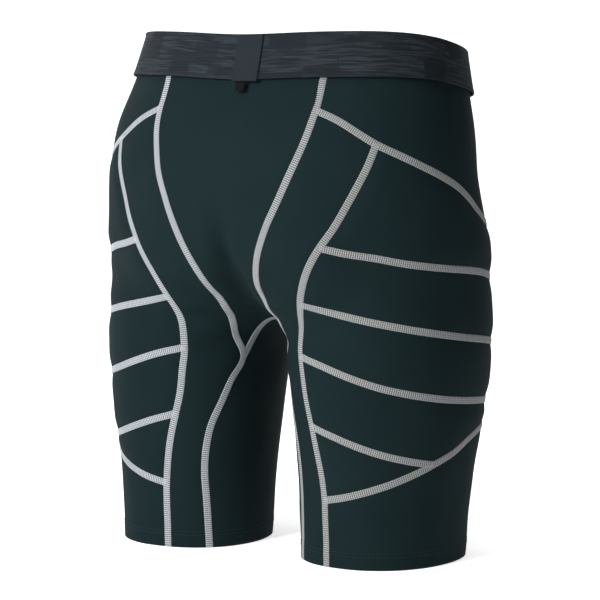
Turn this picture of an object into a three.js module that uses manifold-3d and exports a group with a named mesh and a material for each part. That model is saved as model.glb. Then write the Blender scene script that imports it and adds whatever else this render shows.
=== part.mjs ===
// Padded impact shorts, standing open on their two leg hems.
// Millimetres. +Z up, +X towards the wearer's left, -Y towards the wearer's front.
// The origin is on the floor under the middle of the garment's outline.
//
// Every panel is a sheet laid on one smooth body shape and bounded by seam lines. A seam line is
// cut into stations, and the tape over it and the panels beside it share those stations, so their
// edges stay parallel. The left half is drawn and the right half mirrors it.

import * as THREE from 'three';
import { mergeVertices } from 'three/addons/utils/BufferGeometryUtils.js';
import Module from 'manifold-3d';

// Overall sizes. The outlines and seam lines further down are drafted at the base size, and
// graded from it to these.
const height = 475;
const hipWidth = 370;
const hipDepth = 236;
const base = { height: 475, hipWidth: 370, hipDepth: 236 };

// Stretch fabric and the flat seam tapes that join its panels.
const fabricThickness = 1.2;
const tapeWidth = 7;
const tapeThickness = 1.6;
const sewingGap = 0.45;
const seamJoinGap = 0.6;
const layerGap = 1.0;

// Elastic waistband, the patch over its join, and the size tab that hangs from the patch.
const bandHeight = 40;
const bandThickness = 1.8;
const bandGap = 1.0;
const bandTuck = 12;
const bandDip = 3;
const bandDipWidth = 60;
const frontDrop = 26;
const frontDropFrom = 80;
const frontDropTo = -110;
const patchWidth = 26;
const patchThickness = 0.8;
const patchOffset = -10;
const patchOverhang = 1.6;
const patchGap = 0.45;
const tabWidth = 9;
const tabLength = 8;
const tabThickness = 0.8;
const tabOffset = -7.5;

// Folded hem at each leg.
const hemFold = 16;
const facingGap = 1.4;
const facingThickness = 1.2;

// Foam pads, the puff they give their covers, and the lining that holds them.
const foamThickness = 8;
const foamBevel = 3;
const foamInset = 10;
const wedgeFoamEnd = 0.62;
const foamGap = 0.8;
const liningGap = 1.4;
const padPuff = 2.6;
const liningThickness = 1;
const liningInset = 4.5;
const liningSkirt = 2.6;
const tailPad = { topZ: 402, bottomZ: 322, topHalfWidth: 40, bottomHalfWidth: 26, thickness: 7 };
const tailPocketMargin = 7;

// Heights where the cross seams meet the seam behind the pads and the seam in front of them.
const padRows = [
  { before: 290 },
  { behind: 287, before: 246 },
  { behind: 235, before: 190 },
  { behind: 188, before: 140 },
  { behind: 126 },
  { behind: 60, before: 118 },
];
const backJunction = { hipSeam: 406, crotch: 177 };
const frontJunction = { crotch: 182 };

// How many stations each stretch of seam gets: rows run down the garment, columns round it.
const rows = { yoke: 4, pads: [5, 3, 2, 3, 3], below: 4, toCrotch: 12, leg: 8, frontToCrotch: 13 };
const columns = { backThigh: 3, wedge: 5, pads: 10, frontThigh: 6, centre: 8, gusset: 6 };

// Body shape: [height, half width or depth] of the torso and of a leg, and the leg's axis.
const torso = {
  middleY: makeProfile([[200, 8], [290, 12], [350, 17], [390, 16], [430, 9], [470, 3]]),
  side: makeProfile([[200, 163], [250, 172], [300, 179], [345, 181], [390, 176], [430, 164], [470, 153]]),
  back: makeProfile([[200, 110], [250, 120], [300, 128], [345, 124], [390, 112], [430, 101], [470, 95]]),
  front: makeProfile([[200, 84], [250, 92], [300, 98], [345, 104], [390, 108], [430, 110], [470, 110]]),
  seatZ: 294,
  seatDrop: 82,
  squareness: 2.25,
};
const leg = {
  axisX: makeProfile([[0, 106], [100, 104], [200, 102], [280, 100]]),
  axisY: makeProfile([[0, 25], [100, 21], [190, 17], [280, 12]]),
  outer: makeProfile([[0, 65], [60, 70], [120, 79], [190, 86], [280, 83]]),
  inner: makeProfile([[0, 75], [60, 76], [120, 79], [190, 84], [280, 85]]),
  back: makeProfile([[0, 74], [60, 79], [120, 86], [190, 94], [280, 94]]),
  front: makeProfile([[0, 76], [60, 81], [120, 89], [190, 96], [280, 92]]),
  topZ: 256,
  rise: 95,
  squareness: 2.1,
  twist: 0.067,
};
const seat = { x: 66, y: 50, z: 284, rx: 68, ry: 82, rz: 76 };
const blendRadius = { legs: 22, hips: 34, seats: 10, seatToBody: 22 };

// Seam lines of the left half, as points close to the body. Each is pulled onto the body shape.
const seamPoints = {
  back: [
    [83, 88, 462], [83, 98, 436], [83, 111, 406], [81, 120, 388], [76, 127, 369], [70, 133, 351],
    [62, 138, 331], [52, 140, 310], [42, 138, 288], [33, 130, 266], [26, 116, 244], [22, 94, 222],
    [23, 76, 200], [25, 63, 177], [30, 71, 161], [37, 77, 141], [44, 84, 121], [49, 87, 100],
    [52, 87, 74], [52, 84, 45], [51, 81, 0], [51, 81, -25],
  ],
  padBehind: [
    [137, 98, 377], [133, 105, 359], [127, 113, 341], [117, 119, 320], [106, 125, 299],
    [94, 130, 281], [83, 129, 261], [73, 121, 240], [66, 109, 219], [62, 104, 200], [63, 105, 180],
    [65, 106, 160], [69, 104, 140], [75, 103, 120], [81, 102, 95], [85, 101, 68], [86, 100, 40],
    [86, 98, 0], [86, 98, -25],
  ],
  padBefore: [
    [106, -84, 460], [112, -84, 430], [122, -84, 390], [133, -80, 345], [142, -74, 300],
    [148, -68, 250], [150, -64, 200], [148, -60, 150], [144, -56, 100], [140, -52, 50],
    [138, -50, 0], [138, -50, -25],
  ],
  front: [
    [48, -105, 460], [48, -104, 430], [47, -100, 390], [44, -96, 345], [39, -90, 300],
    [32, -82, 260], [26, -70, 228], [24, -48, 202], [26, -28, 182], [32, -30, 160],
    [38, -32, 130], [43, -33, 100], [47, -33, 60], [50, -32, 0], [50, -32, -25],
  ],
  backArch: [[20, 52, 196], [12, 48, 208], [0, 46, 213]],
  frontArch: [[19, -30, 196], [11, -33, 208], [0, -34, 213]],
  hip: [
    [91, 110, 403], [102, 108, 398], [114, 106, 391], [126, 102, 384], [137, 98, 377],
    [150, 90, 370], [163, 76, 361], [173, 59, 352], [180, 36, 341], [184, 12, 327], [184, -18, 308],
  ],
  crossMiddles: [
    [[118, 118, 282], [139, 103, 278], [158, 85, 273], [177, 56, 268], [186, 20, 264], [185, -13, 259]],
    [[98, 112, 229], [133, 102, 222], [162, 81, 215], [182, 47, 208], [187, 15, 203], [187, -13, 199]],
    [[93, 111, 180], [117, 108, 172], [141, 98, 164], [167, 74, 156], [181, 30, 149], [182, -16, 144]],
    [[100, 106, 118], [123, 102, 110], [146, 89, 102], [161, 73, 97]],
    [[108, 101, 65], [129, 97, 71], [147, 86, 78], [161, 70, 86], [171, 55, 92], [180, 31, 102],
      [182, 9, 112], [180, -16, 118]],
  ],
};
const wedgeTip = [171, 55, 93];

const colours = {
  fabric: { color: 0x1c2a2e, roughness: 0.8 },
  tape: { color: 0xa9adae, roughness: 0.85 },
  elastic: { color: 0x24252b, roughness: 0.75 },
  label: { color: 0x0c0c0e, roughness: 0.6 },
  foam: { color: 0x3a3d42, roughness: 0.95 },
  mesh: { color: 0x15181b, roughness: 0.9 },
};

const grade = new THREE.Vector3(hipWidth / base.hipWidth, hipDepth / base.hipDepth, height / base.height);
const wasm = await Module();
wasm.setup();

// ---- Body shape ----

// A smooth curve through [height, value] points, level beyond both ends.
function makeProfile(points) {
  const last = points.length - 1;
  const rise = (i) => (points[i + 1][1] - points[i][1]) / (points[i + 1][0] - points[i][0]);
  const run = (i) => points[i + 1][0] - points[i][0];
  const slope = points.map((point, i) => {
    if (i === 0) return rise(0);
    if (i === last) return rise(last - 1);
    return (rise(i) * run(i - 1) + rise(i - 1) * run(i)) / (run(i - 1) + run(i));
  });
  return (z) => {
    const clamped = THREE.MathUtils.clamp(z, points[0][0], points[last][0]);
    let i = 0;
    while (i < last - 1 && clamped >= points[i + 1][0]) i += 1;
    const h = run(i);
    const t = (clamped - points[i][0]) / h;
    const a = points[i][1] * (2 * t ** 3 - 3 * t ** 2 + 1);
    const b = points[i + 1][1] * (3 * t ** 2 - 2 * t ** 3);
    return a + b + h * (slope[i] * (t ** 3 - 2 * t ** 2 + t) + slope[i + 1] * (t ** 3 - t ** 2));
  };
}

function blend(a, b, radius) {
  const h = THREE.MathUtils.clamp(0.5 + 0.5 * (b - a) / radius, 0, 1);
  return b * (1 - h) + a * h - radius * h * (1 - h);
}

// Signed distance, roughly, from a rounded block with the given half sizes.
function swell(x, y, z, rx, ry, rz, power) {
  const sum = Math.abs(x / rx) ** power + Math.abs(y / ry) ** power + Math.abs(z / rz) ** power;
  return Math.hypot(x, y, z) * (1 - 1 / Math.max(sum ** (1 / power), 1e-9));
}

function torsoShape(x, y, z) {
  const ahead = y - torso.middleY(z);
  const depth = ahead > 0 ? torso.back(z) : torso.front(z);
  return swell(x, ahead, Math.min(z - torso.seatZ, 0), torso.side(z), depth, torso.seatDrop, torso.squareness);
}

function legShape(x, y, z) {
  const along = y - leg.axisY(z);
  const across = x - leg.axisX(z) + leg.twist * along;
  const width = across > 0 ? leg.outer(z) : leg.inner(z);
  const depth = along > 0 ? leg.back(z) : leg.front(z);
  return swell(across, along, Math.max(z - leg.topZ, 0), width, depth, leg.rise, leg.squareness);
}

function seatShape(x, y, z) {
  return swell(x - seat.x, y - seat.y, z - seat.z, seat.rx, seat.ry, seat.rz, 2);
}

// Negative inside the body, zero on its surface.
function bodyShape(gradedX, gradedY, gradedZ) {
  const x = gradedX / grade.x;
  const y = gradedY / grade.y;
  const z = gradedZ / grade.z;
  const legs = blend(legShape(x, y, z), legShape(-x, y, z), blendRadius.legs);
  const hips = blend(torsoShape(x, y, z), legs, blendRadius.hips);
  const seats = blend(seatShape(x, y, z), seatShape(-x, y, z), blendRadius.seats);
  return blend(hips, seats, blendRadius.seatToBody);
}

function steepest(p) {
  const e = 0.5;
  return new THREE.Vector3(
    bodyShape(p.x + e, p.y, p.z) - bodyShape(p.x - e, p.y, p.z),
    bodyShape(p.x, p.y + e, p.z) - bodyShape(p.x, p.y - e, p.z),
    bodyShape(p.x, p.y, p.z + e) - bodyShape(p.x, p.y, p.z - e),
  ).divideScalar(2 * e);
}

// The nearest point of the body surface, by stepping down the slope of the shape.
function settle(point) {
  const p = point.clone();
  for (let step = 0; step < 8; step += 1) {
    const g = steepest(p);
    p.addScaledVector(g, -bodyShape(p.x, p.y, p.z) / Math.max(g.lengthSq(), 1e-6));
  }
  return p;
}

// Outward direction at a point. On a level edge it stays level, so the edge stays flat.
function outward(p, level = false) {
  const g = steepest(p);
  if (level) g.z = 0;
  return g.normalize();
}

const atHem = () => 0;

// The waistline dips a little at the middle of the back and slopes down to the front.
function waistDrop(x, y) {
  const dip = y > 0 ? bandDip * Math.exp(-((x / bandDipWidth) ** 2)) : 0;
  const slope = 1 - THREE.MathUtils.smoothstep(y / grade.y, frontDropTo, frontDropFrom);
  return dip + frontDrop * slope;
}
const atRim = (x, y) => height - waistDrop(x, y);
const atBandFoot = (x, y) => atRim(x, y) - bandHeight;
const atPanelTop = (x, y) => atBandFoot(x, y) + bandTuck;

// The first surface point out from an upright axis at one angle, at the height levelAt gives.
function onLevel(axis, angle, levelAt) {
  const p = new THREE.Vector3();
  const inside = (radius) => {
    p.x = axis.x + radius * Math.cos(angle);
    p.y = axis.y + radius * Math.sin(angle);
    p.z = levelAt(p.x, p.y);
    return bodyShape(p.x, p.y, p.z) < 0;
  };
  const march = 8;
  let high = march;
  while (inside(high)) high += march;
  let low = high - march;
  for (let step = 0; step < 30; step += 1) {
    const middle = (low + high) / 2;
    if (inside(middle)) low = middle;
    else high = middle;
  }
  return p;
}

// ---- Seam lines and their stations ----

const graded = ([x, y, z]) => new THREE.Vector3(x, y, z).multiply(grade);
const mirrored = (p) => new THREE.Vector3(-p.x, p.y, p.z);

// A fine line on the body through the given points, with the length up to each of its points.
function drape(points) {
  const curve = new THREE.CatmullRomCurve3(points, false, 'catmullrom', 0.5);
  const line = curve.getPoints(24 * (points.length - 1)).map(settle);
  const lengths = [0];
  for (let i = 1; i < line.length; i += 1) lengths.push(lengths[i - 1] + line[i].distanceTo(line[i - 1]));
  return { line, lengths };
}

function pointAt({ line, lengths }, length) {
  let i = 1;
  while (i < line.length - 1 && lengths[i] < length) i += 1;
  const t = (length - lengths[i - 1]) / (lengths[i] - lengths[i - 1]);
  return line[i - 1].clone().lerp(line[i], t);
}

// The length at which a seam that runs downwards crosses the height that levelAt gives.
function crossing({ line, lengths }, levelAt) {
  const above = (p) => p.z - levelAt(p.x, p.y);
  const i = line.findIndex((p) => above(p) <= 0);
  const t = above(line[i - 1]) / (above(line[i - 1]) - above(line[i]));
  return lengths[i - 1] + t * (lengths[i] - lengths[i - 1]);
}

function stations(seam, from, to, count) {
  return Array.from({ length: count + 1 }, (_, i) => settle(pointAt(seam, from + (to - from) * i / count)));
}

function setLevel(p, levelAt) {
  return onLevel({ x: 0, y: 0 }, Math.atan2(p.y, p.x), levelAt);
}

// Stations along a level edge between two points, going round an upright axis.
function levelStations(axis, from, to, count, levelAt, turn) {
  const start = Math.atan2(from.y - axis.y, from.x - axis.x);
  let sweep = Math.atan2(to.y - axis.y, to.x - axis.x) - start;
  while (sweep * turn < 0) sweep += turn * 2 * Math.PI;
  const inside = Array.from({ length: count - 1 }, (_, i) => onLevel(axis, start + sweep * (i + 1) / count, levelAt));
  return [from, ...inside, to];
}

const join = (...parts) => parts.flatMap((part, i) => (i === 0 ? part : part.slice(1)));
const backwards = (list) => [...list].reverse();
const flipped = (list) => list.map(mirrored);

const legAxis = { x: leg.axisX(0) * grade.x, y: leg.axisY(0) * grade.y };
const waistAxis = { x: 0, y: 0 };
const atHeight = (z) => () => z * grade.z;

function hemPoint(seam) {
  const p = pointAt(seam, crossing(seam, atHem));
  return onLevel(legAxis, Math.atan2(p.y - legAxis.y, p.x - legAxis.x), atHem);
}

// The back seam, from the waistband to the hem through the hip seam and the crotch.
const backSeam = drape(seamPoints.back.map(graded));
const backStops = [
  crossing(backSeam, atPanelTop),
  crossing(backSeam, atHeight(backJunction.hipSeam)),
  crossing(backSeam, atHeight(backJunction.crotch)),
  crossing(backSeam, atHem),
];
const backUpper = stations(backSeam, backStops[0], backStops[1], rows.yoke);
const backMiddle = stations(backSeam, backStops[1], backStops[2], rows.toCrotch);
const backLower = stations(backSeam, backStops[2], backStops[3], rows.leg);
backUpper[0] = setLevel(backUpper[0], atPanelTop);
backLower[rows.leg] = hemPoint(backSeam);

// The front seam, which mirrors the back one across the side of the body.
const frontSeam = drape(seamPoints.front.map(graded));
const frontStops = [
  crossing(frontSeam, atPanelTop),
  crossing(frontSeam, atHeight(frontJunction.crotch)),
  crossing(frontSeam, atHem),
];
const frontUpper = stations(frontSeam, frontStops[0], frontStops[1], rows.frontToCrotch);
const frontLower = stations(frontSeam, frontStops[1], frontStops[2], rows.leg);
frontUpper[0] = setLevel(frontUpper[0], atPanelTop);
frontLower[rows.leg] = hemPoint(frontSeam);

// The two arches that cross the crotch from leg to leg.
function archStations(foot, points) {
  const half = [foot, ...points.map(graded)];
  const whole = drape([...half, ...flipped(backwards(half.slice(0, -1)))]);
  const line = stations(whole, 0, whole.lengths.at(-1), columns.centre);
  line[0] = foot;
  line[columns.centre] = mirrored(foot);
  return line;
}
const backArch = archStations(backLower[0], seamPoints.backArch);
const frontArch = archStations(frontLower[0], seamPoints.frontArch);

// The upright seams behind and in front of the pads, cut where the cross seams meet them.
const behindSeam = drape(seamPoints.padBehind.map(graded));
const beforeSeam = drape(seamPoints.padBefore.map(graded));
const behindStops = padRows.map((row) => (row.behind ? crossing(behindSeam, atHeight(row.behind)) : 0));
const beforeStops = padRows.map((row) => row.before && crossing(beforeSeam, atHeight(row.before)));
const behind = rows.pads.map((count, i) => stations(behindSeam, behindStops[i], behindStops[i + 1], count));
const beforeRows = [0, 1, 2, 3];
const before = beforeRows.map((i) => {
  const next = i === 3 ? 5 : i + 1;
  return stations(beforeSeam, beforeStops[i], beforeStops[next], rows.pads[i]);
});
const behindBelow = stations(behindSeam, behindStops[5], crossing(behindSeam, atHem), rows.below);
const beforeBelow = stations(beforeSeam, beforeStops[5], crossing(beforeSeam, atHem), rows.below);
behindBelow[rows.below] = hemPoint(behindSeam);
beforeBelow[rows.below] = hemPoint(beforeSeam);
const beforeYoke = stations(beforeSeam, crossing(beforeSeam, atPanelTop), beforeStops[0], rows.yoke);
beforeYoke[0] = setLevel(beforeYoke[0], atPanelTop);

// The cross seams: the hip seam, three quilting seams, the short wedge seam, the lower pad seam.
// The hip seam runs from the back seam past the top of the pads.
const hipWhole = drape([backMiddle[0], ...seamPoints.hip.map(graded), before[0][0]]);
const padCorner = behind[0][0];
const toCorner = hipWhole.line.map((p) => p.distanceTo(padCorner));
const cornerStop = hipWhole.lengths[toCorner.indexOf(Math.min(...toCorner))];
const hipStart = stations(hipWhole, 0, cornerStop, columns.backThigh);
const hipEnd = stations(hipWhole, cornerStop, hipWhole.lengths.at(-1), columns.pads);
hipStart[columns.backThigh] = padCorner;
hipEnd[0] = padCorner;

function crossStations(from, middles, to, count) {
  const seam = drape([from, ...middles.map(graded), to]);
  const line = stations(seam, 0, seam.lengths.at(-1), count);
  line[0] = from;
  line[count] = to;
  return line;
}
const starts = [...behind.map((part) => part[0]), behindBelow[0]];
const ends = [...before.map((part) => part[0]), null, beforeBelow[0]];
const wedgePoint = settle(graded(wedgeTip));
const quilting = [hipEnd, ...[0, 1, 2].map((i) => (
  crossStations(starts[i + 1], seamPoints.crossMiddles[i], ends[i + 1], columns.pads)
))];
const wedge = crossStations(starts[4], seamPoints.crossMiddles[3], wedgePoint, columns.wedge);
const lowerMiddles = seamPoints.crossMiddles[4];
const lowerStart = crossStations(starts[5], lowerMiddles.slice(0, 4), wedgePoint, columns.wedge);
const lowerEnd = crossStations(wedgePoint, lowerMiddles.slice(5), ends[5], columns.pads - columns.wedge);
const hipSeam = join(hipStart, quilting[0]);
const lowerSeam = join(lowerStart, lowerEnd);
const behindWhole = join(...behind, behindBelow);
const beforeWhole = join(beforeYoke, ...before, beforeBelow);

// ---- Sheets and tapes ----

// Each point of a closed line moved into the panel that the line bounds, so that the segments on
// its two sides shift by their own insets. The line runs along the panel's top first.
function insetLoop(loop, insets) {
  const count = loop.length;
  const step = (i, by) => {
    let j = (i + by + count) % count;
    while (loop[j].distanceTo(loop[i]) < 1e-6) j = (j + by + count) % count;
    return j;
  };
  const along = (from, to) => loop[to].clone().sub(loop[from]);
  const turn = along(0, step(0, 1)).cross(along(0, step(0, -1))).dot(outward(loop[0]));
  const inwards = (from, to, normal) => normal.clone().cross(along(from, to)).normalize().multiplyScalar(Math.sign(turn));
  return loop.map((p, i) => {
    const previous = step(i, -1);
    const next = step(i, 1);
    const normal = outward(p);
    const a = inwards(previous, i, normal);
    const b = inwards(i, next, normal);
    const insetA = insets[previous];
    const insetB = insets[(next - 1 + count) % count];
    const c = a.dot(b);
    if (c > 0.995) return p.clone().addScaledVector(a.add(b), (insetA + insetB) / 2 / (1 + c));
    const shareA = (insetA - c * insetB) / (1 - c * c);
    const shareB = (insetB - c * insetA) / (1 - c * c);
    return p.clone().addScaledVector(a, shareA).addScaledVector(b, shareB);
  });
}

const seamInset = tapeWidth / 2 + sewingGap;

// A grid of surface points between four edges. Each edge is a list of stations, and its inset
// says how far the panel stays inside it. The inside is blended from the edges.
function gridBetween(edges, insets) {
  const { top, right, bottom, left } = edges;
  const sides = [top, right, backwards(bottom), backwards(left)];
  const names = ['top', 'right', 'bottom', 'left'];
  const loop = sides.flatMap((side) => side.slice(0, -1));
  const perSegment = sides.flatMap((side, i) => side.slice(0, -1).map(() => insets[names[i]]));
  const moved = insetLoop(loop, perSegment);
  const across = top.length - 1;
  const down = right.length - 1;
  const pick = (start, count) => Array.from({ length: count + 1 }, (_, i) => moved[(start + i) % moved.length]);
  const topLine = pick(0, across);
  const rightLine = pick(across, down);
  const bottomLine = backwards(pick(across + down, across));
  const leftLine = backwards(pick(2 * across + down, down));
  const grid = [];
  for (let row = 0; row <= down; row += 1) {
    const v = row / down;
    grid.push(topLine.map((topPoint, column) => {
      const u = column / across;
      if (row === 0) return topPoint;
      if (row === down) return bottomLine[column];
      if (column === 0) return leftLine[row];
      if (column === across) return rightLine[row];
      const p = new THREE.Vector3();
      p.addScaledVector(topPoint, 1 - v).addScaledVector(bottomLine[column], v);
      p.addScaledVector(leftLine[row], 1 - u).addScaledVector(rightLine[row], u);
      p.addScaledVector(topLine[0], -(1 - u) * (1 - v)).addScaledVector(topLine[across], -u * (1 - v));
      p.addScaledVector(bottomLine[0], -(1 - u) * v).addScaledVector(bottomLine[across], -u * v);
      return settle(p);
    }));
  }
  return grid;
}

// A closed geometry from numbered points and faces, without the faces that have no area.
function closedGeometry(points, faces) {
  const geometry = new THREE.BufferGeometry();
  geometry.setAttribute('position', new THREE.Float32BufferAttribute(points.flatMap((p) => p.toArray()), 3));
  geometry.setIndex(faces.flat());
  const merged = mergeVertices(geometry, 1e-4);
  const index = merged.getIndex().array;
  const kept = [];
  for (let i = 0; i < index.length; i += 3) {
    const [a, b, c] = [index[i], index[i + 1], index[i + 2]];
    if (a !== b && b !== c && a !== c) kept.push(a, b, c);
  }
  merged.setIndex(kept);
  return merged;
}

// A solid between two offsets from a grid of surface points. Offsets may vary over the grid.
function sheet(grid, inner, outer, { levelRows = [], closed = false } = {}) {
  const down = grid.length - 1;
  const across = closed ? grid[0].length : grid[0].length - 1;
  const width = grid[0].length;
  const at = (offset, u, v) => (typeof offset === 'function' ? offset(u, v) : offset);
  const layer = (offset) => grid.flatMap((line, row) => line.map((p, column) => (
    p.clone().addScaledVector(outward(p, levelRows.includes(row)), at(offset, column / across, row / down))
  )));
  const points = [...layer(outer), ...layer(inner)];
  const half = points.length / 2;
  const faces = [];
  const quad = (a, b, c, d) => faces.push([a, b, c], [a, c, d]);
  const id = (row, column) => row * width + (column % width);
  for (let row = 0; row < down; row += 1) {
    for (let column = 0; column < across; column += 1) {
      const [a, b] = [id(row, column), id(row, column + 1)];
      const [c, d] = [id(row + 1, column + 1), id(row + 1, column)];
      quad(a, b, c, d);
      quad(a + half, d + half, c + half, b + half);
    }
  }
  for (let column = 0; column < across; column += 1) {
    const [a, b] = [id(0, column), id(0, column + 1)];
    const [c, d] = [id(down, column), id(down, column + 1)];
    quad(b, a, a + half, b + half);
    quad(c, d, d + half, c + half);
  }
  if (!closed) {
    for (let row = 0; row < down; row += 1) {
      const [a, b] = [id(row, 0), id(row + 1, 0)];
      const [c, d] = [id(row, across), id(row + 1, across)];
      quad(a, b, b + half, a + half);
      quad(d, c, c + half, d + half);
    }
  }
  return outwardFacing(closedGeometry(points, faces));
}

function turnFaces(geometry) {
  const index = geometry.getIndex().array;
  for (let i = 0; i < index.length; i += 3) [index[i + 1], index[i + 2]] = [index[i + 2], index[i + 1]];
  return geometry;
}

// Turns the faces round if the solid came out inside out.
function outwardFacing(geometry) {
  const position = geometry.getAttribute('position');
  const index = geometry.getIndex().array;
  const [a, b, c] = [new THREE.Vector3(), new THREE.Vector3(), new THREE.Vector3()];
  let volume = 0;
  for (let i = 0; i < index.length; i += 3) {
    a.fromBufferAttribute(position, index[i]);
    b.fromBufferAttribute(position, index[i + 1]);
    c.fromBufferAttribute(position, index[i + 2]);
    volume += a.dot(b.cross(c));
  }
  return volume < 0 ? turnFaces(geometry) : geometry;
}

// A flat tape over a line of stations. A level end is cut along the level edge it stops at.
function tape(line, halfWidth, inner, outer, { levelStart = false, levelEnd = false } = {}) {
  const last = line.length - 1;
  const grid = line.map((p, i) => {
    const level = (i === 0 && levelStart) || (i === last && levelEnd);
    const normal = outward(p, level);
    const side = (from, to) => normal.clone().cross(line[to].clone().sub(line[from])).normalize();
    const a = i > 0 ? side(i - 1, i) : side(0, 1);
    const b = i < last ? side(i, i + 1) : a.clone();
    const shift = a.clone().add(b).divideScalar(1 + a.dot(b));
    if (level) {
      const along = new THREE.Vector3(0, 0, 1).cross(normal).normalize();
      shift.copy(along).divideScalar(along.dot(a));
    }
    return [-1, 0, 1].map((end) => p.clone().addScaledVector(shift, end * halfWidth));
  });
  const edges = grid.map(([low, , high]) => [low, high]);
  const levelRows = [levelStart && 0, levelEnd && last].filter((row) => row !== false);
  return sheet(edges, inner, outer, { levelRows });
}

function toSolid(geometry) {
  const mesh = new wasm.Mesh({
    numProp: 3,
    vertProperties: new Float32Array(geometry.getAttribute('position').array),
    triVerts: new Uint32Array(geometry.getIndex().array),
  });
  return new wasm.Manifold(mesh);
}

function fromSolid(solid) {
  const mesh = solid.getMesh();
  const geometry = new THREE.BufferGeometry();
  geometry.setAttribute('position', new THREE.Float32BufferAttribute(mesh.vertProperties, 3));
  geometry.setIndex(new THREE.Uint32BufferAttribute(mesh.triVerts, 1));
  return geometry;
}

function mirrorGeometry(geometry) {
  return turnFaces(geometry.clone().scale(-1, 1, 1));
}

const group = new THREE.Group();

function add(name, geometry, colour) {
  const material = new THREE.MeshStandardMaterial({ ...colours[colour], metalness: 0 });
  const mesh = new THREE.Mesh(geometry, material);
  mesh.name = name;
  group.add(mesh);
}

function addPair(name, geometry, colour) {
  add(`left_${name}`, geometry, colour);
  add(`right_${name}`, mirrorGeometry(geometry), colour);
}

// ---- Fabric panels ----

const sewn = { top: seamInset, right: seamInset, bottom: seamInset, left: seamInset };
const fullLength = { ...sewn, top: 0, bottom: 0 };
const topFree = { ...sewn, top: 0 };
const bottomFree = { ...sewn, bottom: 0 };

function waistLine(from, to, count, turn) {
  return levelStations(waistAxis, from, to, count, atPanelTop, turn);
}

function hemLine(from, to, count, turn) {
  return levelStations(legAxis, from, to, count, atHem, turn);
}

const backSide = join(backUpper, backMiddle);
const backCentre = gridBetween({
  top: waistLine(backSide[0], mirrored(backSide[0]), columns.centre, 1),
  right: flipped(backSide),
  bottom: backArch,
  left: backSide,
}, topFree);
add('back_centre_panel', sheet(backCentre, 0, fabricThickness, { levelRows: [0] }), 'fabric');

const frontCentre = gridBetween({
  top: waistLine(frontUpper[0], mirrored(frontUpper[0]), columns.centre, -1),
  right: flipped(frontUpper),
  bottom: frontArch,
  left: frontUpper,
}, topFree);
add('front_centre_panel', sheet(frontCentre, 0, fabricThickness, { levelRows: [0] }), 'fabric');

// The gusset runs from the left hem up the inside of the leg, over the crotch and down again.
const gussetBack = join(backwards(backLower), backArch, flipped(backLower));
const gussetFront = join(backwards(frontLower), frontArch, flipped(frontLower));
const gussetHem = hemLine(gussetBack[0], gussetFront[0], columns.gusset, 1);
const gusset = gridBetween({
  top: gussetHem,
  right: gussetFront,
  bottom: flipped(gussetHem),
  left: gussetBack,
}, fullLength);
const gussetEnds = { levelRows: [0, gusset.length - 1] };
add('crotch_gusset', sheet(gusset, 0, fabricThickness, gussetEnds), 'fabric');

const backThigh = gridBetween({
  top: hipStart,
  right: behindWhole,
  bottom: hemLine(backLower[rows.leg], behindBelow[rows.below], columns.backThigh, -1),
  left: join(backMiddle, backLower),
}, bottomFree);
const backThighEnd = { levelRows: [backThigh.length - 1] };
addPair('back_thigh_panel', sheet(backThigh, 0, fabricThickness, backThighEnd), 'fabric');

const yoke = gridBetween({
  top: waistLine(backUpper[0], beforeYoke[0], columns.backThigh + columns.pads, -1),
  right: beforeYoke,
  bottom: hipSeam,
  left: backUpper,
}, topFree);
addPair('hip_yoke_panel', sheet(yoke, 0, fabricThickness, { levelRows: [0] }), 'fabric');

const lowerSide = gridBetween({
  top: lowerSeam,
  right: beforeBelow,
  bottom: hemLine(behindBelow[rows.below], beforeBelow[rows.below], columns.pads, -1),
  left: behindBelow,
}, bottomFree);
addPair('lower_side_panel', sheet(lowerSide, 0, fabricThickness, { levelRows: [rows.below] }), 'fabric');

const frontThigh = gridBetween({
  top: waistLine(beforeYoke[0], frontUpper[0], columns.frontThigh, -1),
  right: join(frontUpper, frontLower),
  bottom: hemLine(beforeBelow[rows.below], frontLower[rows.leg], columns.frontThigh, -1),
  left: beforeWhole,
}, fullLength);
const frontThighEnds = { levelRows: [0, frontThigh.length - 1] };
addPair('front_thigh_panel', sheet(frontThigh, 0, fabricThickness, frontThighEnds), 'fabric');

// ---- Pads: puffed covers, foam, lining ----

const wedgeEnd = Array(rows.pads[4] + 1).fill(wedgePoint);
const padEdges = [
  { top: quilting[0], right: before[0], bottom: quilting[1], left: behind[0] },
  { top: quilting[1], right: before[1], bottom: quilting[2], left: behind[1] },
  { top: quilting[2], right: before[2], bottom: quilting[3], left: behind[2] },
  { top: quilting[3], right: before[3], bottom: join(wedge, lowerEnd), left: behind[3] },
  { top: wedge, right: wedgeEnd, bottom: lowerStart, left: behind[4] },
];

const puff = (u, v) => padPuff * (1 - (2 * u - 1) ** 4) * (1 - (2 * v - 1) ** 4);

function gridPoint(grid, u, v) {
  const row = v * (grid.length - 1);
  const column = u * (grid[0].length - 1);
  const i = Math.min(Math.floor(row), grid.length - 2);
  const j = Math.min(Math.floor(column), grid[0].length - 2);
  const upper = grid[i][j].clone().lerp(grid[i][j + 1], column - j);
  const lower = grid[i + 1][j].clone().lerp(grid[i + 1][j + 1], column - j);
  return upper.lerp(lower, row - i);
}

function lineLength(line) {
  return line.reduce((sum, p, i) => (i === 0 ? 0 : sum + p.distanceTo(line[i - 1])), 0);
}

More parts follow.
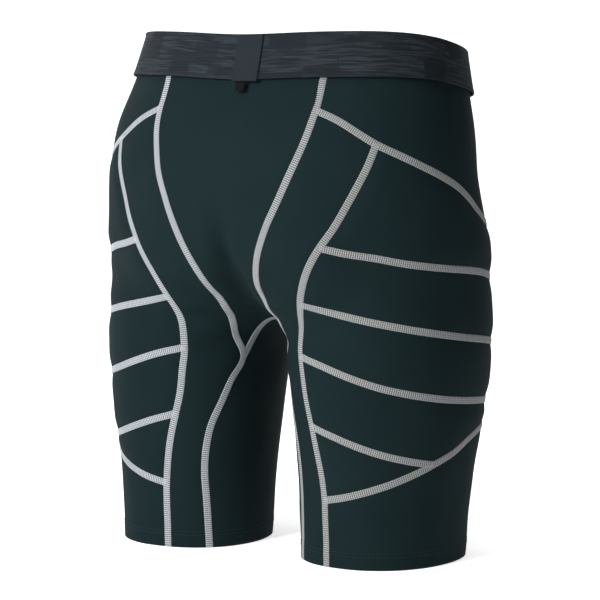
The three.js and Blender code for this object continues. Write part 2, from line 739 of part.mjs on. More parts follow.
// The foam plate under one cover: it follows the cover's inner face, inset on all four sides, and
// its other face is bevelled along the edges.
function foamPlate(grid) {
  const down = grid.length - 1;
  const across = grid[0].length - 1;
  const under = grid.map((line, row) => line.map((p, column) => (
    p.clone().addScaledVector(outward(p), puff(column / across, row / down))
  )));
  const margin = foamInset - seamInset;
  const pointed = lineLength(grid.map((line) => line[across])) < 1;
  const uStart = margin / Math.min(lineLength(grid[0]), lineLength(grid[down]));
  const uEnd = pointed ? wedgeFoamEnd : 1 - uStart;
  const us = Array.from({ length: across + 1 }, (_, i) => uStart + (uEnd - uStart) * i / across);
  const margins = us.map((u) => {
    return Math.min(margin / gridPoint(under, u, 0).distanceTo(gridPoint(under, u, 1)), 0.38);
  });
  const plate = [0, 0.15, 0.5, 0.85, 1].map((share) => (
    us.map((u, i) => gridPoint(under, u, margins[i] + (1 - 2 * margins[i]) * share))
  ));
  const inner = (u, v) => {
    const atEdge = u === 0 || u === 1 || v === 0 || v === 1;
    return -foamGap - foamThickness + (atEdge ? foamBevel : 0);
  };
  return sheet(plate, inner, -foamGap);
}

padEdges.forEach((edges, i) => {
  const grid = gridBetween(edges, sewn);
  const cover = sheet(grid, puff, (u, v) => puff(u, v) + fabricThickness);
  addPair(`pad_cover_${i + 1}`, cover, 'fabric');
  addPair(`foam_pad_${i + 1}`, foamPlate(grid), 'foam');
});

// A pocket lining: its rim lies against the fabric and its floor passes under the foam.
function pocket(edges, inset, depth) {
  const inset4 = { top: inset, right: inset, bottom: inset, left: inset };
  const rim = gridBetween(edges, inset4);
  const across = rim[0].length - 1;
  const down = rim.length - 1;
  const uEdge = liningSkirt / lineLength(rim[Math.floor(down / 2)]);
  const vEdge = liningSkirt / lineLength(rim.map((line) => line[Math.floor(across / 2)]));
  const shares = (count, edge) => [0, edge, ...Array.from({ length: count - 1 }, (_, i) => (i + 1) / count), 1 - edge, 1];
  const us = shares(across, uEdge);
  const vs = shares(down, vEdge);
  const grid = vs.map((v) => us.map((u) => settle(gridPoint(rim, u, v))));
  const isRim = (u, v) => u === 0 || u === 1 || v === 0 || v === 1;
  const outer = (u, v) => (isRim(u, v) ? -layerGap : -depth);
  return sheet(grid, (u, v) => outer(u, v) - liningThickness, outer);
}

const liningDepth = foamGap + foamThickness + liningGap;
const liningLeft = join(...behind);
const liningRight = stations(beforeSeam, beforeStops[0], beforeStops[5], liningLeft.length - 1);
const liningEdges = { top: quilting[0], right: liningRight, bottom: lowerSeam, left: liningLeft };
addPair('pad_lining', pocket(liningEdges, liningInset, liningDepth), 'mesh');

// The tailbone pad, a tapered plate in its own pocket behind the back centre panel.
function shieldEdges(margin, across, down) {
  const onBack = (x, z) => settle(graded([x, torso.middleY(z) + torso.back(z), z]));
  const topZ = tailPad.topZ + margin;
  const bottomZ = tailPad.bottomZ - margin;
  const topHalf = tailPad.topHalfWidth + margin;
  const bottomHalf = tailPad.bottomHalfWidth + margin;
  const run = (count, at) => Array.from({ length: count + 1 }, (_, i) => at(i / count));
  const half = (t) => topHalf + (bottomHalf - topHalf) * t;
  return {
    top: run(across, (t) => onBack(topHalf * (1 - 2 * t), topZ)),
    right: run(down, (t) => onBack(-half(t), topZ + (bottomZ - topZ) * t)),
    bottom: run(across, (t) => onBack(bottomHalf * (1 - 2 * t), bottomZ)),
    left: run(down, (t) => onBack(half(t), topZ + (bottomZ - topZ) * t)),
  };
}
const unsewn = { top: 0, right: 0, bottom: 0, left: 0 };
const tailGrid = gridBetween(shieldEdges(0, 6, 5), unsewn);
const tailBevel = (u, v) => (u === 0 || u === 1 || v === 0 || v === 1 ? foamBevel : 0);
const tailInner = (u, v) => -layerGap - tailPad.thickness + tailBevel(u, v);
add('tailbone_foam_pad', sheet(tailGrid, tailInner, -layerGap), 'foam');
const tailDepth = layerGap + tailPad.thickness + liningGap;
const tailPocket = pocket(shieldEdges(tailPocketMargin, 6, 5), 0, tailDepth);
add('tailbone_pocket', tailPocket, 'mesh');

// ---- Seam tapes ----

const half = tapeWidth / 2;
const wide = half + seamJoinGap;
const fullTape = { levelStart: true, levelEnd: true };

function tapeSolid(line, options) {
  return toSolid(tape(line, half, 0, tapeThickness, options));
}

// The same tape grown by the sewing gap, to cut another tape back from it.
function tapeCutter(line, options) {
  return toSolid(tape(line, wide, -tapeThickness, 2 * tapeThickness, options));
}

const backLine = join(backUpper, backMiddle, backLower);
const frontLine = join(frontUpper, frontLower);
addPair('back_seam', tape(backLine, half, 0, tapeThickness, fullTape), 'tape');
addPair('front_seam', tape(frontLine, half, 0, tapeThickness, fullTape), 'tape');

function archTape(arch, upright) {
  const leftCut = tapeCutter(upright);
  const rightCut = tapeCutter(flipped(upright));
  return fromSolid(tapeSolid(arch).subtract(leftCut).subtract(rightCut));
}
add('back_arch_seam', archTape(backArch, backLine), 'tape');
add('front_arch_seam', archTape(frontArch, frontLine), 'tape');

let padSeams = tapeSolid(beforeWhole, fullTape).add(tapeSolid(hipSeam));
padSeams = padSeams.add(tapeSolid(behindWhole, { levelEnd: true }));
for (const line of [...quilting.slice(1), wedge, lowerSeam]) padSeams = padSeams.add(tapeSolid(line));
addPair('pad_seams', fromSolid(padSeams.subtract(tapeCutter(backLine))), 'tape');

// ---- Waistband, join patch, size tab, hem facings ----

function ringGrid(axis, levels, count) {
  return levels.map((levelAt) => (
    Array.from({ length: count }, (_, i) => onLevel(axis, 2 * Math.PI * i / count, levelAt))
  ));
}

const bandInner = tapeThickness + bandGap;
const bandOuter = bandInner + bandThickness;
const atBandMiddle = (x, y) => (atRim(x, y) + atBandFoot(x, y)) / 2;
const bandGrid = ringGrid(waistAxis, [atRim, atBandMiddle, atBandFoot], 48);
const band = sheet(bandGrid, bandInner, bandOuter, { levelRows: [0, 1, 2], closed: true });
add('waistband', band, 'elastic');

function onBackLevel(x, levelAt) {
  const p = new THREE.Vector3(x, 0, 0);
  let [low, high] = [0, hipDepth];
  for (let step = 0; step < 40; step += 1) {
    p.y = (low + high) / 2;
    p.z = levelAt(p.x, p.y);
    if (bodyShape(p.x, p.y, p.z) < 0) low = p.y;
    else high = p.y;
  }
  return p;
}

const patchInner = bandOuter + patchGap;
const patchOuter = patchInner + patchThickness;
const atPatchFoot = (x, y) => atBandFoot(x, y) - patchOverhang;
const patchGrid = [atRim, atBandMiddle, atPatchFoot].map((levelAt) => (
  [0.5, 0, -0.5].map((share) => onBackLevel(patchOffset + share * patchWidth, levelAt))
));
const patch = sheet(patchGrid, patchInner, patchOuter, { levelRows: [0, 1, 2] });
add('waistband_join_patch', patch, 'elastic');

// The size tab hangs from the patch's lower edge and leans with the cloth behind it.
const atTabTop = (x, y) => atPatchFoot(x, y) - sewingGap;
const atTabFoot = (x, y) => atTabTop(x, y) - tabLength;
const tabGrid = [atTabTop, atTabFoot].map((levelAt) => (
  [0.5, -0.5].map((share) => onBackLevel(tabOffset + share * tabWidth, levelAt))
));
const tab = sheet(tabGrid, patchInner, patchInner + tabThickness, { levelRows: [0, 1] });
add('size_tab', tab, 'label');

const facingOuter = -facingGap;
const facingGrid = ringGrid(legAxis, [() => hemFold, atHem], 26);
const facing = sheet(facingGrid, facingOuter - facingThickness, facingOuter, { levelRows: [0, 1], closed: true });
addPair('hem_facing', facing, 'fabric');

// Stand the garment with its origin under the middle of its outline.
const box = new THREE.Box3().setFromObject(group);
group.position.y = -(box.min.y + box.max.y) / 2;

export default group;
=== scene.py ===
# Padded impact shorts, standing open on their leg hems in a plain studio.
# Shapes are worked out in millimetres on one smooth body form, then put in the frame in metres.
import math

import bmesh
import bpy
import numpy as np
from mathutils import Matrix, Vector


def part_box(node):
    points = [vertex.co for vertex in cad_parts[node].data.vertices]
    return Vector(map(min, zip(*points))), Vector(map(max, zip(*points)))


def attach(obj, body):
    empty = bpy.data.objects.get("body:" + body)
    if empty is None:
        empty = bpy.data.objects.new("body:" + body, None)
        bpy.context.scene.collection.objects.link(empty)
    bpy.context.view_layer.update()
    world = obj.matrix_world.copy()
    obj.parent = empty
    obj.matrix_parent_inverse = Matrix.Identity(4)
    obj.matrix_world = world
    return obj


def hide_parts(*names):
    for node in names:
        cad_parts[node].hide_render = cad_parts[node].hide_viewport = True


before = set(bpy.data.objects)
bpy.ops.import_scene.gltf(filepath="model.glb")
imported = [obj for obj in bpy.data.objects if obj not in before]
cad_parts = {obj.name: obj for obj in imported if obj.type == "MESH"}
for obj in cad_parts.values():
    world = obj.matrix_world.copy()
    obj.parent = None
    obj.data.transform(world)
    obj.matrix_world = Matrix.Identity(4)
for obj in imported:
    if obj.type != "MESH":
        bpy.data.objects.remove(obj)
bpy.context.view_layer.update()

print("frame loaded:", len(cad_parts), "nodes")

shorts = {
    "height": 475,
    "fineness": 7,        # grid steps between two stations of a seam
    "fabric": 1.2,        # cloth thickness
    "seamDip": 0.35,      # how far the stitching pulls the cloth in
    "seamDipWidth": 2.6,
    "stretch": (1.08, 1.04),   # round the body, up the body
    "rippleDepth": 0.28,
    "lay": -1.6,          # the worn cloth's inner face, from the form
    "cleft": {"depth": 12, "halfWidth": 11.5, "level": 263, "reach": 40},
    "pulls": {"depth": 0.95, "level": 214, "distance": 46, "reach": 26, "count": 11},
    "hemStep": {"rise": 0.35, "level": 17, "ease": 3},
    "waistLift": {"rise": 0.85, "ease": 7},
}

torso = {
    "middle": [[200, 8], [290, 12], [350, 17], [390, 16], [430, 9], [470, 3]],
    "side": [[200, 163], [250, 172], [300, 179], [345, 181], [390, 176], [430, 164], [470, 153]],
    "back": [[200, 110], [250, 120], [300, 128], [345, 124], [390, 112], [430, 101], [470, 95]],
    "front": [[200, 84], [250, 92], [300, 98], [345, 104], [390, 108], [430, 110], [470, 110]],
    "seatLevel": 294,
    "seatDrop": 82,
    "squareness": 2.25,
}
leg = {
    "axisX": [[0, 106], [100, 104], [200, 102], [280, 100]],
    "axisY": [[0, 25], [100, 21], [190, 17], [280, 12]],
    "outer": [[0, 65], [60, 70], [120, 79], [190, 86], [280, 83]],
    "inner": [[0, 75], [60, 76], [120, 79], [190, 84], [280, 85]],
    "back": [[0, 74], [60, 79], [120, 86], [190, 94], [280, 94]],
    "front": [[0, 76], [60, 81], [120, 89], [190, 96], [280, 92]],
    "top": 256,
    "rise": 95,
    "squareness": 2.1,
    "twist": 0.067,
}
seat = {"centre": (66, 50, 284), "radii": (68, 82, 76)}
blendRadius = {"legs": 22, "hips": 34, "seats": 10, "seatToBody": 22}


def profile(points):
    # smooth curve through (height, value) points: a cubic between neighbours, level past the ends
    z, v = np.array(points, float).T
    run = np.diff(z)
    rise = np.diff(v) / run
    between = (rise[1:] * run[:-1] + rise[:-1] * run[1:]) / (run[:-1] + run[1:])
    slope = np.concatenate([rise[:1], between, rise[-1:]])

    def at(height):
        h = np.clip(height, z[0], z[-1])
        i = np.clip(np.searchsorted(z, h, side="right") - 1, 0, len(z) - 2)
        t = (h - z[i]) / run[i]
        ends = v[i] * (2 * t**3 - 3 * t**2 + 1) + v[i + 1] * (3 * t**2 - 2 * t**3)
        return ends + run[i] * (slope[i] * (t**3 - 2 * t**2 + t) + slope[i + 1] * (t**3 - t**2))

    return at


torsoAt = {k: profile(v) for k, v in torso.items() if isinstance(v, list)}
legAt = {k: profile(v) for k, v in leg.items() if isinstance(v, list)}


def smoothMin(a, b, radius):
    # the smaller of two distances, rounded over the given radius
    h = np.clip(0.5 + 0.5 * (b - a) / radius, 0, 1)
    return b * (1 - h) + a * h - radius * h * (1 - h)


def swell(x, y, z, rx, ry, rz, power):
    # rough signed distance from a rounded block: radius times (1 - 1 / superellipse norm)
    norm = (np.abs(x / rx) ** power + np.abs(y / ry) ** power + np.abs(z / rz) ** power) ** (1 / power)
    return np.sqrt(x * x + y * y + z * z) * (1 - 1 / np.maximum(norm, 1e-9))


def torsoForm(x, y, z):
    ahead = y - torsoAt["middle"](z)
    depth = np.where(ahead > 0, torsoAt["back"](z), torsoAt["front"](z))
    below = np.minimum(z - torso["seatLevel"], 0)
    return swell(x, ahead, below, torsoAt["side"](z), depth, torso["seatDrop"], torso["squareness"])


def legForm(x, y, z):
    ahead = y - legAt["axisY"](z)
    across = x - legAt["axisX"](z) + leg["twist"] * ahead
    width = np.where(across > 0, legAt["outer"](z), legAt["inner"](z))
    depth = np.where(ahead > 0, legAt["back"](z), legAt["front"](z))
    return swell(across, ahead, np.maximum(z - leg["top"], 0), width, depth, leg["rise"], leg["squareness"])


def seatForm(x, y, z):
    cx, cy, cz = seat["centre"]
    return swell(x - cx, y - cy, z - cz, *seat["radii"], 2)


def bodyForm(p):
    # negative inside the body, zero on it: torso, two legs and two seats melted together
    x, y, z = p[..., 0], p[..., 1], p[..., 2]
    legs = smoothMin(legForm(x, y, z), legForm(-x, y, z), blendRadius["legs"])
    hips = smoothMin(torsoForm(x, y, z), legs, blendRadius["hips"])
    seats = smoothMin(seatForm(x, y, z), seatForm(-x, y, z), blendRadius["seats"])
    return smoothMin(hips, seats, blendRadius["seatToBody"])


def steepest(p):
    step = 0.5 * np.eye(3)
    return np.stack([bodyForm(p + s) - bodyForm(p - s) for s in step], -1)


def settle(p, steps=7):
    # pulls points down the slope of the form until they lie on it
    p = np.array(p, float)
    for _ in range(steps):
        g = steepest(p)
        p = p - g * (bodyForm(p) / np.maximum((g * g).sum(-1), 1e-6))[..., None]
    return p


def eased(share):
    # from 0 to 1 with a level start and end
    t = np.clip(share, 0, 1)
    return t * t * (3 - 2 * t)


def unit(v):
    return v / np.maximum(np.linalg.norm(v, axis=-1, keepdims=True), 1e-12)


def outward(p):
    return unit(steepest(p))


def levelOutward(p):
    g = steepest(p)
    g[..., 2] = 0
    return unit(g)


waistband = {
    "height": 40,
    "thickness": 1.8,
    "inner": 1.7,
    "tuck": 12,
    "backDip": 3,
    "backDipWidth": 60,
    "frontDrop": 26,
    "dropFrom": 80,
    "dropTo": -110,
    "round": 0.9,
    "ridge": 0.35,        # cord-like swelling along both edges
    "ridgeHeight": 3.4,
}


def atHem(x, y):
    return np.zeros_like(x)


def atRim(x, y):
    # full height less a soft dip at the middle of the back and an eased slope to the front
    slope = 1 - eased((y - waistband["dropTo"]) / (waistband["dropFrom"] - waistband["dropTo"]))
    dip = np.where(y > 0, waistband["backDip"] * np.exp(-((x / waistband["backDipWidth"]) ** 2)), 0)
    return shorts["height"] - dip - waistband["frontDrop"] * slope


def below(levelAt, drop):
    return lambda x, y: levelAt(x, y) - drop


atPanelTop = below(atRim, waistband["height"] - waistband["tuck"])


search = {"step": 8.0, "steps": 60, "halvings": 26, "depth": 236.0, "depthHalvings": 40}


def onLevel(axis, angles, levelAt):
    # marches out from an upright axis to the first point outside the form, then halves the step
    angles = np.asarray(angles, float)
    ray = np.stack([np.cos(angles), np.sin(angles)], -1)

    def at(radius):
        xy = np.asarray(axis) + ray * radius[..., None]
        return np.concatenate([xy, levelAt(xy[..., 0], xy[..., 1])[..., None]], -1)

    high = np.full(angles.shape, search["step"])
    for _ in range(search["steps"]):
        high = np.where(bodyForm(at(high)) < 0, high + search["step"], high)
    low = high - search["step"]
    for _ in range(search["halvings"]):
        middle = (low + high) / 2
        inside = bodyForm(at(middle)) < 0
        low = np.where(inside, middle, low)
        high = np.where(inside, high, middle)
    return at((low + high) / 2)


seamPoints = {
    "back": [
        [83, 88, 462], [83, 98, 436], [83, 111, 406], [81, 120, 388], [76, 127, 369], [70, 133, 351],
        [62, 138, 331], [52, 140, 310], [42, 138, 288], [33, 130, 266], [26, 116, 244], [22, 94, 222],
        [23, 76, 200], [25, 63, 177], [30, 71, 161], [37, 77, 141], [44, 84, 121], [49, 87, 100],
        [52, 87, 74], [52, 84, 45], [51, 81, 0], [51, 81, -25],
    ],
    "padBehind": [
        [137, 98, 377], [133, 105, 359], [127, 113, 341], [117, 119, 320], [106, 125, 299],
        [94, 130, 281], [83, 129, 261], [73, 121, 240], [66, 109, 219], [62, 104, 200], [63, 105, 180],
        [65, 106, 160], [69, 104, 140], [75, 103, 120], [81, 102, 95], [85, 101, 68], [86, 100, 40],
        [86, 98, 0], [86, 98, -25],
    ],
    "padBefore": [
        [106, -84, 460], [112, -84, 430], [122, -84, 390], [133, -80, 345], [142, -74, 300],
        [148, -68, 250], [150, -64, 200], [148, -60, 150], [144, -56, 100], [140, -52, 50],
        [138, -50, 0], [138, -50, -25],
    ],
    "front": [
        [48, -105, 460], [48, -104, 430], [47, -100, 390], [44, -96, 345], [39, -90, 300],
        [32, -82, 260], [26, -70, 228], [24, -48, 202], [26, -28, 182], [32, -30, 160],
        [38, -32, 130], [43, -33, 100], [47, -33, 60], [50, -32, 0], [50, -32, -25],
    ],
    "backArch": [[20, 52, 196], [12, 48, 208], [0, 46, 213]],
    "frontArch": [[19, -30, 196], [11, -33, 208], [0, -34, 213]],
    "hip": [
        [91, 110, 403], [102, 108, 398], [114, 106, 391], [126, 102, 384], [137, 98, 377],
        [150, 90, 370], [163, 76, 361], [173, 59, 352], [180, 36, 341], [184, 12, 327], [184, -18, 308],
    ],
    "quiltOne": [
        [118, 118, 282], [139, 103, 278], [158, 85, 273], [177, 56, 268], [186, 20, 264], [185, -13, 259],
    ],
    "quiltTwo": [
        [98, 112, 229], [133, 102, 222], [162, 81, 215], [182, 47, 208], [187, 15, 203], [187, -13, 199],
    ],
    "quiltThree": [
        [93, 111, 180], [117, 108, 172], [141, 98, 164], [167, 74, 156], [181, 30, 149], [182, -16, 144],
    ],
    "wedge": [[100, 106, 118], [123, 102, 110], [146, 89, 102], [161, 73, 97]],
    "lowerBehind": [[108, 101, 65], [129, 97, 71], [147, 86, 78], [161, 70, 86]],
    "lowerBefore": [[180, 31, 102], [182, 9, 112], [180, -16, 118]],
    "wedgeTip": [171, 55, 93],
}
crossings = {
    "backHip": 406,
    "backCrotch": 177,
    "frontCrotch": 182,
    "behind": [287, 235, 188, 126, 60],
    "before": [290, 246, 190, 140, 118],
}
rows = {"yoke": 4, "pads": [5, 3, 2, 3, 3], "below": 4, "toCrotch": 12, "leg": 8, "frontToCrotch": 13}
columns = {"backThigh": 3, "wedge": 5, "pads": 10, "frontThigh": 6, "centre": 8, "gusset": 6}


def catmullRom(points, parts):
    # a cubic between each two points, leaning on the two beyond; the ends carry straight on
    q = np.asarray(points, float)
    p = np.vstack([2 * q[:1] - q[1:2], q, 2 * q[-1:] - q[-2:-1]])
    t = (np.arange(parts) / parts)[None, :, None]
    a, b, c, d = (p[i:len(p) - 3 + i, None] for i in range(4))
    curve = b + 0.5 * t * ((c - a) + t * ((2 * a - 5 * b + 4 * c - d) + t * (3 * (b - c) + d - a)))
    return np.vstack([curve.reshape(-1, 3), q[-1:]])


def lengthMarks(line):
    return np.concatenate([[0], np.cumsum(np.linalg.norm(np.diff(line, axis=0), axis=1))])


def drape(points):
    line = settle(catmullRom(points, 24))
    return line, lengthMarks(line)


def pointsAlong(seam, lengths):
    line, marks = seam
    return np.stack([np.interp(lengths, marks, line[:, k]) for k in range(3)], -1)


def crossing(seam, levelAt):
    line, marks = seam
    above = line[:, 2] - levelAt(line[:, 0], line[:, 1])
    i = int(np.argmax(above <= 0))
    t = above[i - 1] / (above[i - 1] - above[i])
    return marks[i - 1] + t * (marks[i] - marks[i - 1])


def stations(seam, start, stop, count):
    return settle(pointsAlong(seam, np.linspace(start, stop, count + 1)))


def flipped(line):
    return line * np.array([-1, 1, 1])


def join(*lines):
    return np.vstack([lines[0]] + [line[1:] for line in lines[1:]])


def fine(line):
    # the stations of a seam with more points between them, on the form
    dense = settle(catmullRom(line, shorts["fineness"]))
    dense[::shorts["fineness"]] = line
    return dense


def levelLine(axis, start, stop, count, levelAt, turn):
    # a level edge between two points, in equal steps of the angle round an upright axis
    first = math.atan2(start[1] - axis[1], start[0] - axis[0])
    sweep = math.atan2(stop[1] - axis[1], stop[0] - axis[0]) - first
    sweep += turn * 2 * math.pi if sweep * turn < 0 else 0
    line = onLevel(axis, first + sweep * np.linspace(0, 1, count * shorts["fineness"] + 1), levelAt)
    line[0], line[-1] = start, stop
    return line


legAxis = (float(legAt["axisX"](0)), float(legAt["axisY"](0)))
waistAxis = (0.0, 0.0)


def atHeight(z):
    return lambda x, y: np.full_like(x, z)


def turnedToLevel(p, axis, levelAt):
    return onLevel(axis, [math.atan2(p[1] - axis[1], p[0] - axis[0])], levelAt)[0]


def runDown(seam, stops, counts, fromWaist=True):
    # stations between the stops of a seam that runs down, its ends set level
    line = join(*[stations(seam, stops[i], stops[i + 1], n) for i, n in enumerate(counts)])
    if fromWaist:
        line[0] = turnedToLevel(line[0], waistAxis, atPanelTop)
    line[-1] = turnedToLevel(line[-1], legAxis, atHem)
    return line


backSeam = drape(seamPoints["back"])
backStops = [crossing(backSeam, at) for at in
             (atPanelTop, atHeight(crossings["backHip"]), atHeight(crossings["backCrotch"]), atHem)]
backCoarse = runDown(backSeam, backStops, [rows["yoke"], rows["toCrotch"], rows["leg"]])
frontSeam = drape(seamPoints["front"])
frontStops = [crossing(frontSeam, at) for at in (atPanelTop, atHeight(crossings["frontCrotch"]), atHem)]
frontCoarse = runDown(frontSeam, frontStops, [rows["frontToCrotch"], rows["leg"]])
behindSeam = drape(seamPoints["padBehind"])
behindStops = [0] + [crossing(behindSeam, atHeight(z)) for z in crossings["behind"]]
behindStops.append(crossing(behindSeam, atHem))
behindCoarse = runDown(behindSeam, behindStops, rows["pads"] + [rows["below"]], fromWaist=False)
beforeSeam = drape(seamPoints["padBefore"])
beforeLevels = [atPanelTop] + [atHeight(z) for z in crossings["before"]] + [atHem]
beforeStops = [crossing(beforeSeam, at) for at in beforeLevels]
beforeCoarse = runDown(beforeSeam, beforeStops, [rows["yoke"]] + rows["pads"][:4] + [rows["below"]])

backLine, frontLine = fine(backCoarse), fine(frontCoarse)
behindLine, beforeLine = fine(behindCoarse), fine(beforeCoarse)
step = shorts["fineness"]
behindMarks = np.cumsum([0] + rows["pads"] + [rows["below"]]) * step
beforeMarks = np.cumsum([0, rows["yoke"]] + rows["pads"][:4] + [rows["below"]]) * step
backMarks = np.cumsum([0, rows["yoke"], rows["toCrotch"], rows["leg"]]) * step
frontMarks = np.cumsum([0, rows["frontToCrotch"], rows["leg"]]) * step


def stretchOf(line, marks, i, j):
    return line[marks[i]:marks[j] + 1]


def crossSeam(start, middles, stop, count):
    seam = drape([start] + list(middles) + [stop])
    line = stations(seam, 0, seam[1][-1], count)
    line[0], line[-1] = start, stop
    return fine(line)


def archSeam(foot, points):
    half = np.vstack([foot[None], points])
    seam = drape(np.vstack([half, flipped(half[:-1][::-1])]))
    line = stations(seam, 0, seam[1][-1], columns["centre"])
    line[0], line[-1] = foot, flipped(foot)
    return fine(line)


backFoot, frontFoot = backLine[backMarks[2]], frontLine[frontMarks[1]]
backArch = archSeam(backFoot, seamPoints["backArch"])
frontArch = archSeam(frontFoot, seamPoints["frontArch"])

padCorner = behindLine[0]
hipWhole = drape([backLine[backMarks[1]]] + seamPoints["hip"] + [beforeLine[beforeMarks[1]]])
cornerStop = hipWhole[1][int(np.argmin(np.linalg.norm(hipWhole[0] - padCorner, axis=1)))]
hipCoarse = join(stations(hipWhole, 0, cornerStop, columns["backThigh"]),
                 stations(hipWhole, cornerStop, hipWhole[1][-1], columns["pads"]))
hipCoarse[0], hipCoarse[-1] = backLine[backMarks[1]], beforeLine[beforeMarks[1]]
hipCoarse[columns["backThigh"]] = padCorner
hipLine = fine(hipCoarse)
hipSplit = columns["backThigh"] * step

behindAt = [behindLine[i] for i in behindMarks]
beforeAt = [beforeLine[i] for i in beforeMarks[1:]]
wedgeTip = settle(np.array([seamPoints["wedgeTip"]], float))[0]
quilts = [hipLine[hipSplit:]] + [
    crossSeam(behindAt[i + 1], seamPoints[key], beforeAt[i + 1], columns["pads"])
    for i, key in enumerate(["quiltOne", "quiltTwo", "quiltThree"])
]
wedgeLine = crossSeam(behindAt[4], seamPoints["wedge"], wedgeTip, columns["wedge"])
lowerBehind = crossSeam(behindAt[5], seamPoints["lowerBehind"], wedgeTip, columns["wedge"])
lowerBefore = crossSeam(wedgeTip, seamPoints["lowerBefore"], beforeAt[4], columns["pads"] - columns["wedge"])
lowerLine = join(lowerBehind, lowerBefore)
print("seam lines laid on the form")

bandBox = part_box("waistband")
ringAngles = np.linspace(0, 2 * math.pi, 720, endpoint=False)
bandEdge = np.stack([onLevel(waistAxis, ringAngles, below(atRim, drop)) for drop in (0, waistband["height"])])
bandEdge = bandEdge + levelOutward(bandEdge) * (waistband["inner"] + waistband["thickness"])
frameShift = (bandBox[0].y + bandBox[1].y) / 2 - (bandEdge[..., 1].min() + bandEdge[..., 1].max()) / 2000
print("frame shift", round(frameShift * 1000, 2), "mm")


def signedVolume(points, quads):
    a, b, c, d = (points[quads[:, i]] for i in range(4))
    return (np.einsum("ij,ij->i", a, np.cross(b, c)) + np.einsum("ij,ij->i", a, np.cross(c, d))).sum() / 6


def addMesh(name, points, quads, material, uv=None, values=None, weld=False):
    # a closed mesh from millimetre points and four-sided faces, turned outwards, in metres
    if signedVolume(points, quads) < 0:
        quads = quads[:, ::-1]
    mesh = bpy.data.meshes.new(name)
    placed = points / 1000 + np.array([0, frameShift, 0])
    mesh.vertices.add(len(placed))
    mesh.vertices.foreach_set("co", placed.astype(np.float32).ravel())
    mesh.loops.add(quads.size)
    mesh.loops.foreach_set("vertex_index", quads.astype(np.int32).ravel())
    mesh.polygons.add(len(quads))
    mesh.polygons.foreach_set("loop_start", np.arange(0, quads.size, 4, dtype=np.int32))
    mesh.update(calc_edges=True)
    if uv is not None:
        layer = mesh.uv_layers.new(name="cloth")
        layer.data.foreach_set("uv", uv[quads.ravel()].astype(np.float32).ravel())
    mesh.polygons.foreach_set("use_smooth", np.ones(len(mesh.polygons), bool))
    for key, value in (values or {}).items():
        attribute = mesh.attributes.new(key, "FLOAT", "POINT")
        attribute.data.foreach_set("value", value.astype(np.float32))
    if weld:
        work = bmesh.new()
        work.from_mesh(mesh)
        bmesh.ops.remove_doubles(work, verts=work.verts, dist=2e-6)
        work.to_mesh(mesh)
        work.free()
    mesh.materials.append(materials[material])
    piece = bpy.data.objects.new(name, mesh)
    bpy.context.scene.collection.objects.link(piece)
    return piece


def place(piece, nodes, body="shorts"):
    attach(piece, body)
    if nodes:
        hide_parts(*nodes)
    return piece


def bothSides(name, node, slot, points, quads, material=None, **kwargs):
    # the left piece as drawn, and its mirror image
    made = []
    for side, sign in (("left", 1), ("right", -1)):
        piece = addMesh(side + name, points * np.array([sign, 1, 1]), quads, material or slot, **kwargs)
        made.append(place(piece, [f"{side}_{node}"] if node else []))
    return made


def coons(top, right, bottom, left):
    # inside points are blended from the four edges, less the corners counted twice, then settled
    u = np.linspace(0, 1, len(top))[None, :, None]
    v = np.linspace(0, 1, len(right))[:, None, None]
    p = (1 - v) * top[None] + v * bottom[None] + (1 - u) * left[:, None] + u * right[:, None]
    p = p - (1 - u) * (1 - v) * top[0] - u * (1 - v) * top[-1] - (1 - u) * v * bottom[0] - u * v * bottom[-1]
    p = settle(p)
    p[0], p[-1], p[:, 0], p[:, -1] = top, bottom, left, right
    return p


def gridLengths(grid):
    # length along each row and down each column, from the first point
    across = np.cumsum(np.linalg.norm(np.diff(grid, axis=1), axis=2), axis=1)
    down = np.cumsum(np.linalg.norm(np.diff(grid, axis=0), axis=2), axis=0)
    zeroColumn, zeroRow = np.zeros((grid.shape[0], 1)), np.zeros((1, grid.shape[1]))
    return np.hstack([zeroColumn, across]), np.vstack([zeroRow, down])


def edgeDistance(grid, sides="trbl"):
    # distance to the nearest of the named edges: top, right, bottom, left
    across, down = gridLengths(grid)
    found = {"l": across, "r": across[:, -1:] - across, "t": down, "b": down[-1:] - down}
    return np.min([found[s] for s in sides], axis=0)


def gridArea(grid):
    a, b = grid[1:, 1:] - grid[:-1, :-1], grid[1:, :-1] - grid[:-1, 1:]
    return np.linalg.norm(np.cross(a, b), axis=2).sum() / 2


def ripple(p):
    # how the worn cloth lies off the form: slow waves, the cleft of the seat, creases that
    # fan out from the crotch, the doubled cloth at the hems, and the hold of the waistband
    x, y, z = p[..., 0], p[..., 1], p[..., 2]
    wave = np.sin(0.061 * x + 0.043 * z + 1.3) * np.sin(0.052 * y - 0.071 * z + 0.4)
    wave = wave + 0.6 * np.sin(0.13 * x - 0.05 * y + 0.033 * z) * np.sin(0.09 * z + 0.11 * y)
    behind = np.clip(y / 30, 0, 1)
    cleft, pulls, fold, lift = shorts["cleft"], shorts["pulls"], shorts["hemStep"], shorts["waistLift"]
    valley = np.exp(-((x / cleft["halfWidth"]) ** 2) - ((z - cleft["level"]) / cleft["reach"]) ** 2)
    away = np.hypot(x, z - pulls["level"])
    turn = np.arctan2(z - pulls["level"], np.abs(x) + 4)
    fade = np.exp(-(((away - pulls["distance"]) / pulls["reach"]) ** 2))
    creases = np.sin(pulls["count"] * turn + 0.02 * away) * fade
    doubled = np.clip((fold["level"] - z) / fold["ease"], 0, 1)
    underBand = np.clip((z - atRim(x, y) + waistband["height"]) / lift["ease"], 0, 1)
    lie = shorts["lay"] + shorts["rippleDepth"] * wave * (1 - underBand)
    lie = lie + fold["rise"] * doubled + lift["rise"] * underBand
    return lie - behind * (cleft["depth"] * valley + pulls["depth"] * creases)


